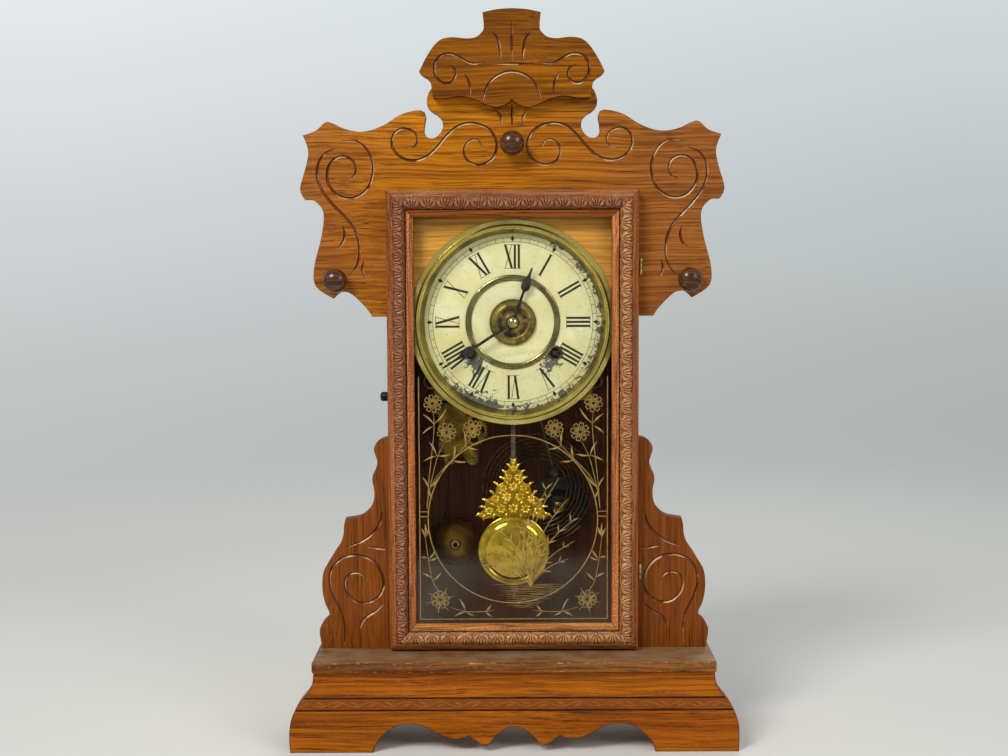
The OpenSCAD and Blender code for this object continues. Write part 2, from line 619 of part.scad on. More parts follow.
module fly() color(brass) {
    arbor(fly_at, 1.1);
    lantern(fly_at, leaves_f, mod_s, turn_f, yi + 24.8, yi + 29.4);
    slab(yi + 3, 11) translate(fly_at) rotate(30) square([16, 0.8], center = true);
    bar_y(fly_at, 1.9, yi + 2, yi + 15);
}

// Pendulum: suspension spring, rod with a loop round the hour pipe, bob and pressed ornament
bob_z = swing_z - pendulum_l;
loop_r = 9;
module pendulum_rod() color(steel) {
    block(-0.15, 0.15, pend_y - 1.8, pend_y + 1.8, swing_z - 8, swing_z + 6);
    block(-0.9, 0.9, pend_y - 1.8, pend_y + 1.8, swing_z - 11, swing_z - 7);
    wire([0, pend_y, dial_z + loop_r], [0, pend_y, swing_z - 9], 0.9);
    translate([0, pend_y, dial_z]) rotate([90, 0, 0]) rotate_extrude() translate([loop_r, 0]) circle(r = 0.9);
    wire([0, pend_y, bob_z - bob_r - 9], [0, pend_y, dial_z - loop_r], 0.9);
    translate([0, pend_y, bob_z - bob_r - 4]) cylinder(r = 3.2, h = 3.6);
}
module pendulum_bob() color(brass) difference() {
    turned([0, bob_z], pend_y) {
        r = bob_r;
        polygon([[0, 3.6], [r - 3, 2.4], [r, 1], [r, -1.6], [r - 1.6, -2.8], [r - 4.2, -2.8], [r - 5.6, -2], [r - 7, -3],
                 [9, -4.4], [0, -4.8]]);
    }
    translate([0, pend_y, bob_z - bob_r - 1]) cylinder(r = 0.95, h = 2 * bob_r + 2);
}
ornament_half = concat(
    curve([[0, 73], [2.6, 70], [3.4, 65], [7.4, 61], [7, 55.5], [13, 51], [14.6, 45], [21.5, 39.5], [23, 33.5], [28, 28]]),
    curve([[28, 28], [22, 25.4], [14, 27.6], [7, 26], [0, 27.6]]), [[0, 27.6]]);
module pendulum_ornament() color(brass) slab(pend_y - 4.2, 1.2)
    polygon(place(both(ornament_half), bob_r / 28.5, bob_r / 28.5, bob_z));

// Hour strike: hammer and coiled gong

gong_at = [37, cap_z + 101.5 * rise];
coil_at = gong_at + [-17, 15.5];
coil_y = yb - 18;
coil_in = norm(gong_at - coil_at);
coil_turns = 7;
coil_rings = 24 * coil_turns;
coil_start = way(coil_at, gong_at);
function coil_point(i) =
    coil_at + polar(coil_in + gong_pitch * i / 24, coil_start + 15 * i);
function coil_ring(i) =
    let (c = coil_point(i), a = coil_start + 15 * i)
    [for (k = [0:5]) let (o = polar(gong_wire_r, 60 * k), q = c + polar(o[0], a)) [q[0], coil_y + o[1], q[1]]];
coil_gap = min([for (i = [0:coil_rings]) for (j = [i + 12:1:coil_rings]) norm(coil_point(i) - coil_point(j))])
    - 2 * gong_wire_r;
echo("least gap between turns of the gong, mm", coil_gap);
module gong_coil() color(steel) polyhedron(
    points = [for (i = [0:coil_rings]) for (q = coil_ring(i)) q],
    faces = concat([[for (k = [0:5]) k]],
        [for (i = [0:coil_rings - 1]) for (k = [0:5])
            [i * 6 + k, i * 6 + 6 + k, i * 6 + 6 + (k + 1) % 6, i * 6 + (k + 1) % 6]],
        [[for (k = [5:-1:0]) coil_rings * 6 + k]]));
module gong_base() color(iron) {
    bar_y(gong_at, 24, yb - 7, yb);
    turned(gong_at, yb - 7) polygon([[0, 0], [13, 0], [9, -5], [9, -7], [0, -7]]);
    bar_y(gong_at, 1.9, coil_y - 4, yb - 6);
    bar_y(gong_at, 2.5, yb - 1, yb + 3.5);
}
hammer_end = coil_at + polar(coil_in - 4.6, coil_start + 90);
hammer_y = coil_y - 8;
module strike_hammer() color(iron) {
    arbor(hammer_at, 1.4);
    wire([hammer_at[0], yk - 8, hammer_at[1]], [hammer_end[0], hammer_y, hammer_end[1]], 1);
    bar_y(hammer_end, 3, hammer_y - 2, coil_y + 2.5);
}

// Alarm: its own small frame and wheel, a hammer and a bell

alarm_c = [-48, dial_z - 88];
alarm_y0 = yf + 32.5;
alarm_y1 = yf + 49;
alarm_feet = [alarm_c + [-14, 18.5], alarm_c + [12, 18.5]];
alarm_wheel_at = alarm_c + [15, 1];
alarm_hammer_at = alarm_c + [-2.5, -22];
bell_at = [-47, cap_z + 72 * rise];
alarm_ears = [alarm_hammer_at, alarm_c + [15.6, -22]];
module strap(p, q, r) {
    for (c = [p, q]) translate(c) circle(r = r);
    translate(p) rotate(way(p, q)) translate([0, -r]) square([norm(q - p), 2 * r]);
}
module alarm_plate_form() difference() {
    union() {
        strap(alarm_feet[0], alarm_feet[1], 4.2);
        translate(alarm_c + [-11, -16]) square([22, 37]);
        strap(alarm_c, alarm_wheel_at, 4.6);
        for (p = alarm_ears) strap(p, [(p[0] + alarm_c[0]) / 2, p[1] + 12], 4.4);
    }
    translate(alarm_ears[1]) circle(r = 1.5);
    translate(alarm_c + [-4, 3]) circle(r = 3.2);
}
module alarm_frame() color(brass) difference() {
    union() {
        for (y = [alarm_y0, alarm_y1]) slab(y, 1.2) alarm_plate_form();
        for (p = alarm_feet) bar_y(p, 2.2, alarm_y0, yb);
        for (p = alarm_feet) bar_y(p, 1.5, yb - 1, yb + 3.5);
        bar_y(alarm_c + [-8, -13], 2.2, alarm_y0, alarm_y1 + 1);
    }
    for (p = [alarm_wheel_at, alarm_hammer_at]) bar_y(p, 1.2 + run, alarm_y0 - 1, alarm_y1 + 2);
}
module alarm_wheel() color(brass) {
    bar_y(alarm_wheel_at, 1.2, alarm_y0 - 3, alarm_y1 + 2);
    wheel(alarm_wheel_at, 32, 0.8, 0, alarm_y0 + 3, 1.4, 0);
    bar_y(alarm_wheel_at, 6, alarm_y0 + 5.4, alarm_y0 + 13);
}
alarm_head = bell_at + polar(bell_r + 5.2, 105);
module alarm_hammer() color(iron) {
    bar_y(alarm_hammer_at, 1.2, alarm_y0 - 2, alarm_y1 + 2);
    bar_y(alarm_hammer_at, 2.4, alarm_y0 + 8, alarm_y0 + 14);
    wire([alarm_hammer_at[0], alarm_y0 + 11, alarm_hammer_at[1]], [alarm_head[0], bell_y + 4, alarm_head[1]], 0.9);
    translate([alarm_head[0], bell_y + 4, alarm_head[1]]) sphere(r = 3);
}
bell_y = yb - 22;
module alarm_bell() color(brass) turned(bell_at, bell_y) difference() {
    polygon([[3, 0], [8, 0], [13.5, 1.6], [17.2, 5], [bell_r - 0.6, 10], [bell_r, 13], [bell_r - 1.4, 13],
             [bell_r - 2, 10.4], [16, 6.2], [12.8, 3.2], [7.8, 1.5], [3, 1.5]]);
}
module bell_post() color(steel) {
    bar_y(bell_at, 3, bell_y - 0.2, bell_y + 1.5);
    bar_y(bell_at, 4.4, bell_y + 1.5, yb);
    bar_y(bell_at, 2.5, yb - 1, yb + 3.5);
    turned(bell_at, bell_y) polygon([[0, 0], [4.6, 0], [4.6, -1.4], [2.4, -2.2], [0, -2.2]]);
}

base_front();
base_side_left();
base_side_right();
base_cap();
case_side_left();
case_side_right();
case_top();
backboard();
head_board();
crest_overlay();
side_ornament_left();
side_ornament_right();
turned_knobs();
door_stile_left();
door_stile_right();
door_rail_top();
door_rail_bottom();
door_glass();
glass_beads();
hinge_case_leaves();
hinge_door_leaves();
latch_turn();
latch_catch();
dial_plate();
dial_bezel();
dial_inner_ring();
alarm_disc();
hour_hand();
minute_hand();
hand_nut();
front_plate();
back_plate();
plate_pillars();
movement_mounts();
time_great_wheel();
strike_great_wheel();
time_winding_arbor();
strike_winding_arbor();
mainsprings();
time_second_wheel();
center_wheel();
third_wheel();
escape_wheel();
verge();
suspension_post();
minute_wheel();
hour_wheel();
strike_second_wheel();
fly();
pendulum_rod();
pendulum_bob();
pendulum_ornament();
strike_hammer();
gong_coil();
gong_base();
alarm_frame();
alarm_wheel();
alarm_hammer();
alarm_bell();
bell_post();
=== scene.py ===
# %% [markdown]
# # Gingerbread clock: the looks
# A gingerbread clock is a kitchen shelf clock with a fretted, gouge-carved oak front. The solids come from
# the frame, and this lesson dresses them: boards get their gouge lines, the door its pressed band, the dial
# its paper, and every piece its finish. Sizes are in millimetres while a piece is made, and the mesh is
# scaled to metres last.

import math

import bmesh
import bpy
from mathutils import Matrix, Vector


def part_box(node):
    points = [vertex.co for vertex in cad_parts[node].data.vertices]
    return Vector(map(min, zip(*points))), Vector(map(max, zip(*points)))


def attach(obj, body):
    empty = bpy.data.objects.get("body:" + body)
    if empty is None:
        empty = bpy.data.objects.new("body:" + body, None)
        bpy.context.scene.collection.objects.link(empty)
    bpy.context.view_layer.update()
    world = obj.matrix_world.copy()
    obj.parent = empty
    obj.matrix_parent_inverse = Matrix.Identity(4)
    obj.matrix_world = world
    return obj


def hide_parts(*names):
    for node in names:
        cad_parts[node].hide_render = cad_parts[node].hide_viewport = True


PER_METRE = 1000
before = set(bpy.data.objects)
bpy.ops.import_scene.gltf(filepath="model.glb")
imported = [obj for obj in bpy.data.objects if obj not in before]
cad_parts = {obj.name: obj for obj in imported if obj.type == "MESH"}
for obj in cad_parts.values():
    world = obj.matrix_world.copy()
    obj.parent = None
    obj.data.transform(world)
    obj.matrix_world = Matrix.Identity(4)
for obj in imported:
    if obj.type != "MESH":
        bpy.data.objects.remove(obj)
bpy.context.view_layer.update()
bpy.context.scene.view_settings.view_transform = "Standard"

# %% [markdown]
# ## Camera
# The picture is taken from a little above the dial, looking down by about five degrees with a short
# telephoto lens. A camera can be set by eye, but here its place and tilt were reckoned from edges that are
# parallel on the real clock, so each piece lands where the picture has it. A small sideways shift and a
# hair of roll do the rest.

# %% Camera
IMAGE_WIDTH = 1008
FOCAL_PIXELS = 1575.0
CLOCK_COLUMN = 513.0
SENSOR_WIDTH = 36.0
PITCH_DOWN = math.radians(4.827)
ROLL = math.radians(-0.22)
CAMERA_PLACE = (0.0, -1.2226, 0.3828)


def set_out(name, data):
    """Puts some data into the scene as an object."""
    made = bpy.data.objects.new(name, data)
    bpy.context.scene.collection.objects.link(made)
    return made


camera_data = bpy.data.cameras.new("front_camera")
camera_data.sensor_width = SENSOR_WIDTH
camera_data.lens = FOCAL_PIXELS * SENSOR_WIDTH / IMAGE_WIDTH
camera_data.shift_x = -(CLOCK_COLUMN - IMAGE_WIDTH / 2) / IMAGE_WIDTH
camera = set_out("front_camera", camera_data)
aim = Matrix.Rotation(math.pi / 2 - PITCH_DOWN, 4, "X") @ Matrix.Rotation(ROLL, 4, "Z")
camera.matrix_world = Matrix.Translation(CAMERA_PLACE) @ aim
bpy.context.scene.camera = camera
print("lens", round(camera_data.lens, 2), "mm")

# %% [markdown]
# ## Finishes
# A finish is a small graph of nodes. Writing each graph by hand gets long, so one helper adds a node and
# plugs its sockets, and another turns everyday screen colours into the linear colours that light is
# reckoned in. The rest are short names for steps that every finish takes, such as blending two colours or
# making noise.

# %% Node helpers
def tint(red, green, blue):
    """A screen colour from 0 to 255 as linear light."""
    parts = [c / 255 for c in (red, green, blue)]
    return tuple(c / 12.92 if c < 0.04045 else ((c + 0.055) / 1.055) ** 2.4 for c in parts) + (1.0,)


def add(tree, kind, sockets=None, **settings):
    """Adds a node, sets its properties, and plugs or sets its sockets."""
    node = tree.nodes.new("ShaderNode" + kind)
    for key, value in settings.items():
        setattr(node, key, value)
    for key, value in (sockets or {}).items():
        if isinstance(value, bpy.types.NodeSocket):
            tree.links.new(value, node.inputs[key])
        else:
            node.inputs[key].default_value = value
    return node


def finish_graph(name, **sockets):
    """A new material with one Principled shader, its plain sockets set directly, and Object coordinates."""
    material = bpy.data.materials.new(name)
    material.use_nodes = True
    tree = material.node_tree
    tree.nodes.clear()
    shader = add(tree, "BsdfPrincipled", {k.replace("_", " "): v for k, v in sockets.items()})
    add(tree, "OutputMaterial", {"Surface": shader.outputs["BSDF"]})
    spot = add(tree, "TexCoord").outputs["Object"]
    return material, tree, shader, spot


print("graphs can be started")

# %% Arithmetic on nodes
MIX_FIRST, MIX_SECOND, MIX_RESULT = 6, 7, 2


def reckon(tree, how, *values):
    """One step of arithmetic on one to three values."""
    return add(tree, "Math", dict(enumerate(values)), operation=how).outputs[0]


def times(tree, a, b):
    return reckon(tree, "MULTIPLY", a, b)


def vector_step(tree, how, *vectors):
    """One step of vector arithmetic: its outputs hold a vector, or a Value for a length."""
    return add(tree, "VectorMath", dict(enumerate(vectors)), operation=how).outputs


def parts_of(tree, vector):
    """The X, Y and Z of a vector."""
    return add(tree, "SeparateXYZ", {"Vector": vector}).outputs


def normal_of(tree):
    """Which way the surface faces."""
    return add(tree, "NewGeometry").outputs["Normal"]


def ramp(tree, value, low, high):
    """Stretches a value so that low becomes 0 and high becomes 1."""
    return add(tree, "MapRange", {"Value": value, "From Min": low, "From Max": high}).outputs["Result"]


def mix(tree, share, a, b):
    """Blends two colours."""
    sockets = {"Factor": share, MIX_FIRST: a, MIX_SECOND: b}
    return add(tree, "Mix", sockets, data_type="RGBA").outputs[MIX_RESULT]


def over(tree, colour, tone, where, share):
    """Lays a tone over a colour by up to a share, where a value from 0 to 1 says."""
    return mix(tree, times(tree, where, share), colour, tone)


def clouds(tree, place, scale, detail=2.0, stretch=(1, 1, 1), warp=0.0):
    """Noise over Object coordinates, stretched along an axis where wood needs it."""
    laid = add(tree, "Mapping", {"Vector": place, "Scale": stretch}).outputs["Vector"]
    sockets = {"Vector": laid, "Scale": scale, "Detail": detail, "Distortion": warp}
    return add(tree, "TexNoise", sockets).outputs["Fac"]


print("values and colours can be reckoned")

# %% Plugging the shader
def paint(tree, shader, colour):
    tree.links.new(colour, shader.inputs["Base Color"])


def roughen(tree, shader, value, low, high, start=0.0, end=1.0):
    """Lets the roughness go from low to high while a value goes from start to end."""
    sockets = {"Value": value, "From Min": start, "From Max": end, "To Min": low, "To Max": high}
    tree.links.new(add(tree, "MapRange", sockets).outputs["Result"], shader.inputs["Roughness"])


def bump(tree, shader, height, strength, distance):
    made = add(tree, "Bump", {"Height": height, "Strength": strength, "Distance": distance})
    tree.links.new(made.outputs["Normal"], shader.inputs["Normal"])


print("shaders can be plugged")

# %% [markdown]
# ## Oak
# Oak shows slow pale and dark figure, thin dark ring lines a few millimetres apart, fine streaks, and rows
# of short dark pores along the grain. A picture of a board would show a seam where it ends, so noises give
# these, each stretched along the grain by its own amount. A ring line is drawn where its noise crosses the
# middle value, which keeps it thin. The same graph turned by 90 degrees serves the upright boards, and
# other colours serve the door and the dark case. The head board is browner towards its wings, and painted
# light makes it paler and yellower behind the glass, where the door's shadow falls and the glass shows glare.

# %% Oak graph
GRAIN_TURN = {"X": (0, 0, 0), "Y": (0, 0, -math.pi / 2), "Z": (0, math.pi / 2, 0)}
SWAY = (0.0, 0.01, 0.01)
FIGURE, BANDS, LINES = (2.6, 26, 32), (3.0, 300, 300), (8, 600, 600)
PORES, RINGS, RING_STRENGTH = (30, 1700, 1700), (3.4, 190, 190), (5, 60, 60)
RUBS = (260, 800, 800)
WING_FROM, WING_TO, WING_ASIDE = 0.04, 0.14, 0.03
GLASS_SIDE, GLASS_TOP, TOP_DARK_RISE = (0.078, 0.074), (0.405, 0.401), (0.505, 0.55)
BAND_SHARE, RING_SHARE, LINE_SHARE, PORE_SHARE = 0.16, 0.66, 0.7, 0.8
# Painted light: paler, yellower tones for the head board behind the glass, where the door's shadow falls and
# the glass shows glare
WING_BROWN, GLASS_PAINTED_LIGHT, GLASS_LIT_GRAIN = tint(146, 88, 44), tint(244, 178, 76), tint(230, 166, 72)
CREST_TOP_DARK, RUBBED, DUST, CRACKLE_GLINT = tint(96, 52, 12), tint(210, 158, 104), tint(142, 118, 90), tint(226, 172, 122)


def head_zones(tree, spot):
    """Where the head board is browner, and where painted light makes it paler behind the glass."""
    place = parts_of(tree, spot)
    off_middle = reckon(tree, "ABSOLUTE", reckon(tree, "ADD", place["X"], WING_ASIDE))
    aside = reckon(tree, "ABSOLUTE", place["X"])
    behind_glass = times(tree, ramp(tree, aside, *GLASS_SIDE), ramp(tree, place["Z"], *GLASS_TOP))
    return ramp(tree, off_middle, WING_FROM, WING_TO), behind_glass


def wood(name, tones, along="X", shift=0.0, bold=1.0, wear=0.0, dust=0.0, gloss=0.42, shine=0.1, crackle=0.0,
         lit_behind_glass=False, darker_on_top=False):
    """Oak with its grain along one axis; bold says how strongly the grain shows."""
    light, mid, dark, pore = tones
    material, tree, shader, spot = finish_graph(name, Specular_IOR_Level=shine)
    laid = {"Vector": spot, "Rotation": GRAIN_TURN[along], "Location": (shift, shift, shift)}
    straight = add(tree, "Mapping", laid).outputs[0]
    sway = add(tree, "TexNoise", {"Vector": straight, "Scale": 9.0, "Detail": 1.0}).outputs["Color"]
    grain = vector_step(tree, "ADD", straight, vector_step(tree, "MULTIPLY", sway, SWAY)[0])[0]
    figure = clouds(tree, grain, 1.0, 3.0, FIGURE, 0.6)
    bands = clouds(tree, grain, 1.0, 3.0, BANDS, 0.2)
    lines = clouds(tree, grain, 1.0, 3.0, LINES)
    fine = clouds(tree, grain, 1.0, 2.0, PORES)
    pores = times(tree, ramp(tree, fine, 0.54, 0.66), ramp(tree, bands, 0.36, 0.56))
    wander = clouds(tree, grain, 1.0, 2.0, RINGS, 0.1)
    apart = reckon(tree, "ABSOLUTE", reckon(tree, "ADD", wander, -0.5))
    strong = ramp(tree, clouds(tree, grain, 1.0, 2.0, RING_STRENGTH), 0.28, 0.56)
    rings = times(tree, ramp(tree, apart, 0.06, 0.02), strong)
    colour = mix(tree, ramp(tree, figure, 0.3, 0.7), mid, light)
    # Painted light behind the glass, laid before the grain
    if lit_behind_glass:
        wings, behind_glass = head_zones(tree, spot)
        colour = over(tree, colour, WING_BROWN, wings, 0.75)
        colour = over(tree, colour, GLASS_PAINTED_LIGHT, behind_glass, 0.72)
    # The crest darkens towards its top
    if darker_on_top:
        colour = over(tree, colour, CREST_TOP_DARK, ramp(tree, parts_of(tree, spot)["Z"], *TOP_DARK_RISE), 0.45)
    colour = over(tree, colour, dark, ramp(tree, bands, 0.44, 0.66), BAND_SHARE * bold)
    colour = over(tree, colour, dark, rings, RING_SHARE * bold)
    colour = over(tree, colour, dark, ramp(tree, lines, 0.46, 0.62), LINE_SHARE * bold)
    colour = over(tree, colour, pore, pores, PORE_SHARE)
    # Painted light behind the glass, laid again over the grain
    if lit_behind_glass:
        colour = over(tree, colour, GLASS_LIT_GRAIN, behind_glass, 0.4)
    if wear > 0:
        colour = over(tree, colour, RUBBED, ramp(tree, clouds(tree, grain, 1.0, 3.0, RUBS), 0.55, 0.75), wear)
    if dust > 0:
        flat_top = ramp(tree, parts_of(tree, normal_of(tree))["Z"], 0.5, 0.95)
        lying = times(tree, flat_top, ramp(tree, clouds(tree, spot, 60.0, 4.0), 0.25, 0.7))
        colour = over(tree, colour, DUST, lying, dust)
    height = reckon(tree, "MULTIPLY_ADD", pores, -1.0, times(tree, lines, 0.5))
    if crackle > 0:
        cells = add(tree, "TexVoronoi", {"Vector": spot, "Scale": 640.0}).outputs["Distance"]
        patches = ramp(tree, clouds(tree, spot, 22.0, 3.0), 0.42, 0.62)
        # Painted highlight: pale specks on the crackle stand for glints of the lamps; the crackle bump is
        # real
        colour = over(tree, colour, CRACKLE_GLINT, times(tree, ramp(tree, cells, 0.34, 0.16), patches), 0.25)
        height = reckon(tree, "MULTIPLY_ADD", cells, -2.2, height)
    paint(tree, shader, colour)
    roughen(tree, shader, lines, gloss - 0.07, gloss + 0.12, 0.3, 0.7)
    bump(tree, shader, height, 0.4 + crackle, 0.0005)
    return material


print("oak graph ready")

# %% Oak finishes
# Each board has a light, a middle and a dark tone of its wood, and the tone of its pores
HEAD_TONES = (tint(203, 125, 8), tint(171, 97, 4), tint(92, 44, 5), tint(46, 19, 3))
CREST_TONES = (tint(170, 103, 6), tint(141, 79, 3), tint(76, 36, 3), tint(38, 16, 2))
BASE_TONES = (tint(184, 102, 8), tint(158, 81, 4), tint(96, 44, 3), tint(54, 22, 2))
SIDE_TONES = (tint(146, 80, 24), tint(118, 58, 12), tint(72, 33, 6), tint(38, 16, 4))
CAP_TONES = (tint(150, 94, 42), tint(120, 70, 28), tint(74, 39, 13), tint(40, 19, 7))
CASE_TONES = (tint(112, 60, 22), tint(92, 46, 13), tint(62, 29, 7), tint(32, 14, 4))
# Darker tones for the backboard: painted shade for the unlit inside of the case
BACK_SHADE_TONES = (tint(112, 54, 22), tint(88, 40, 14), tint(60, 26, 9), tint(34, 14, 5))
BEAD_TONES = (tint(96, 50, 20), tint(78, 38, 12), tint(54, 25, 8), tint(30, 13, 5))
DOOR_TONES = (tint(188, 108, 42), tint(156, 78, 20), tint(106, 49, 10), tint(58, 24, 5))
# Darker tones for the top rail's slope, which faces down: painted shade
TOP_SLOPE_SHADE_TONES = (tint(156, 88, 30), tint(128, 64, 17), tint(80, 36, 7), tint(42, 17, 3))
# Lighter tones for the stile slopes: painted light that lifts their shade
STILE_SLOPE_LIT_TONES = (tint(214, 128, 62), tint(184, 100, 42), tint(118, 57, 19), tint(62, 27, 7))
# Lighter tones for the bottom rail, which faces up: painted light; its dust is real and set on its own
SILL_LIT_TONES = (tint(222, 148, 68), tint(192, 118, 46), tint(124, 66, 20), tint(66, 29, 7))
# Darker tones for the walls and rounded rims of the boards: painted shade, with some real rubbing
RIM_SHADE_TONES = (tint(98, 47, 14), tint(84, 38, 10), tint(64, 27, 6), tint(46, 18, 4))
DOOR_LOOK = {"wear": 0.25, "gloss": 0.3, "shine": 0.34, "crackle": 0.4}
head_oak = wood("head_oak", HEAD_TONES, bold=0.72, lit_behind_glass=True)
crest_oak = wood("crest_oak", CREST_TONES, shift=0.19, bold=0.72, darker_on_top=True)
base_oak = wood("base_oak", BASE_TONES, shift=0.37, bold=0.75, wear=0.12)
base_end_oak = wood("base_end_oak", BASE_TONES, "Y", 0.52, bold=0.75, wear=0.12)
side_oak = wood("side_oak", SIDE_TONES, "Z", 0.61, bold=0.5)
cap_oak = wood("cap_oak", CAP_TONES, shift=0.83, wear=0.25, dust=0.8)
cap_edge = wood("cap_edge", CAP_TONES, shift=0.83, wear=0.9, dust=0.2)
case_oak = wood("case_oak", CASE_TONES, "Z", 0.27, bold=0.7)
case_top_oak = wood("case_top_oak", CASE_TONES, "X", 0.27, bold=0.7)
back_board_shaded = wood("back_board_shaded", BACK_SHADE_TONES, "Z", 0.45, bold=0.7)
bead_oak = wood("bead_oak", BEAD_TONES, "Z", 0.9)
door_red = wood("door_red", DOOR_TONES, "Z", 0.5, **DOOR_LOOK)
rail_red = wood("rail_red", DOOR_TONES, "X", 0.7, dust=1.0, **DOOR_LOOK)
rail_slope_shaded = wood("rail_slope_shaded", TOP_SLOPE_SHADE_TONES, "X", 0.7, gloss=0.3, shine=0.08)
stile_slope_lit = wood("stile_slope_lit", STILE_SLOPE_LIT_TONES, "Z", 0.5, **DOOR_LOOK)
sill_lit_dusty = wood("sill_lit_dusty", SILL_LIT_TONES, "X", 0.34, dust=0.35, **DOOR_LOOK)
rim_oak_shaded = wood("rim_oak_shaded", RIM_SHADE_TONES, shift=0.11, bold=0.6, wear=0.3)
print("oak finishes made")

# %% [markdown]
# ## Gouge lines, pressed bands, knobs
# A gouge line is darker than the board inside the cut, and its faces get a finish of their own that asks
# which way they face: the side of the cut that faces up and to the left, towards the key lamp, gets pale
# specks, a painted highlight, and the side that faces away is darker still, a painted shade. The pressed
# bands are darker low down, with dirt and painted shade in the hollows, and are rubbed pale on top: their
# height is stored on the mesh as an attribute, which the finish reads. The knobs are dark, close-grained and
# polished.

# %% Carving graphs
# Which way the key lamp lies, for the painted highlight and painted shade in the gouge lines
LAMP_SIDE = (-0.55, 0.0, 0.8)
KNOB_GRAIN, KNOB_WEAR, GROOVE_DIRT = (40, 700, 700), (120, 420, 420), (60, 400, 400)


def gouge_finish():
    material, tree, shader, spot = finish_graph("gouge_oak", Roughness=0.22)
    facing = vector_step(tree, "DOT_PRODUCT", normal_of(tree), LAMP_SIDE)["Value"]
    # Painted highlight: pale specks where the cut faces the key lamp
    lamp_side_glint = times(tree, ramp(tree, facing, 0.05, 0.5), ramp(tree, clouds(tree, spot, 90.0, 3.0), 0.44, 0.58))
    deep = mix(tree, clouds(tree, spot, 60.0, 2.0), tint(78, 36, 8), tint(118, 60, 16))
    # Painted shade: darker where the cut faces away from the key lamp
    deep = mix(tree, ramp(tree, facing, 0.1, -0.45), deep, tint(38, 15, 3))
    paint(tree, shader, over(tree, deep, tint(226, 190, 146), lamp_side_glint, 0.75))
    bump(tree, shader, clouds(tree, spot, 1500.0, 2.0), 0.3, 0.0003)
    return material


def pressed_finish(name, dirt, bare, shine, crackle, dust=0.0):
    """The first pair of colours is for the low parts of a pressed band, darker with dirt and painted shade in
    the hollows, and bare is the pair for the high parts.
    """
    material, tree, shader, spot = finish_graph(name, Specular_IOR_Level=shine)
    height = add(tree, "Attribute", attribute_name="relief").outputs["Fac"]
    low = mix(tree, clouds(tree, spot, 90.0, 3.0), *dirt)
    high = mix(tree, ramp(tree, clouds(tree, spot, 110.0, 4.0), 0.3, 0.7), *bare)
    # Darker in the hollows, dirt and painted shade, and paler on the rubbed tops
    colour = mix(tree, ramp(tree, height, 0.15, 0.75), low, high)
    tops = ramp(tree, parts_of(tree, normal_of(tree))["Z"], 0.1, 0.7)
    lying = times(tree, tops, ramp(tree, clouds(tree, spot, 120.0, 3.0), 0.3, 0.65))
    paint(tree, shader, over(tree, colour, tint(158, 138, 112), lying, dust))
    roughen(tree, shader, clouds(tree, spot, 300.0, 2.0), 0.12, 0.36)
    bump(tree, shader, clouds(tree, spot, 800.0, 3.0), crackle, 0.0006)
    return material


def knob_finish():
    look = {"Specular_IOR_Level": 0.25, "Coat_Weight": 0.2, "Coat_Roughness": 0.06}
    material, tree, shader, spot = finish_graph("knob_brown", **look)
    grain = clouds(tree, spot, 1.0, 3.0, KNOB_GRAIN)
    worn = ramp(tree, clouds(tree, spot, 1.0, 3.0, KNOB_WEAR), 0.56, 0.72)
    colour = mix(tree, ramp(tree, grain, 0.36, 0.62), tint(98, 58, 27), tint(46, 24, 10))
    paint(tree, shader, over(tree, colour, tint(140, 98, 58), worn, 0.25))
    roughen(tree, shader, grain, 0.0, 1.0, 0.0, 2.2)
    bump(tree, shader, grain, 0.2, 0.0002)
    return material


def groove_finish(name, deep, pale):
    material, tree, shader, spot = finish_graph(name, Roughness=0.7)
    dirt = clouds(tree, spot, 1.0, 3.0, GROOVE_DIRT)
    paint(tree, shader, mix(tree, ramp(tree, dirt, 0.4, 0.65), deep, pale))
    bump(tree, shader, dirt, 0.3, 0.0003)
    return material


print("carving graphs ready")

# %% Carving finishes
gouge_oak = gouge_finish()
# Grooves are dark: dirt in the cut and painted shade
groove_dirt_and_shade = groove_finish("groove_dirt_and_shade", tint(44, 18, 4), tint(92, 44, 10))
door_groove = groove_finish("door_groove", tint(70, 34, 12), tint(112, 62, 26))
# Low parts of the door's pressed bands: dirt and painted shade in the hollows
LEAF_HOLLOW_DIRT_AND_SHADE, LEAF_BARE = (tint(74, 34, 12), tint(106, 52, 20)), (tint(124, 63, 26), tint(162, 95, 48))
pressed_band = pressed_finish("pressed_band", LEAF_HOLLOW_DIRT_AND_SHADE, LEAF_BARE, 0.65, 0.7, 0.4)
# A lighter copy of the pressed band for the right stile and the bottom rail: painted light where they face
# the key lamp and the light from above
LIT_BAND_HOLLOWS, LIT_BAND_TOPS = (tint(90, 46, 16), tint(126, 70, 28)), (tint(160, 96, 42), tint(204, 146, 84))
pressed_band_lit = pressed_finish("pressed_band_lit", LIT_BAND_HOLLOWS, LIT_BAND_TOPS, 0.7, 0.7, 0.3)
# Low parts of the base's pressed band: dirt and painted shade in the hollows
BASE_HOLLOW_DIRT_AND_SHADE, BASE_BARE = (tint(118, 58, 7), tint(136, 69, 9)), (tint(140, 72, 10), tint(164, 95, 28))
base_pressed = pressed_finish("base_pressed", BASE_HOLLOW_DIRT_AND_SHADE, BASE_BARE, 0.2, 0.3)
knob_brown = knob_finish()
print("carving finishes made")

# %% [markdown]
# ## Metals
# Old brass is never one colour: it browns in clouds and stays bright where it is touched. One graph mixes a
# clean and a tarnished colour by noise, and lets the tarnish be rougher. Steel, iron and the blackened
# hands use it too.

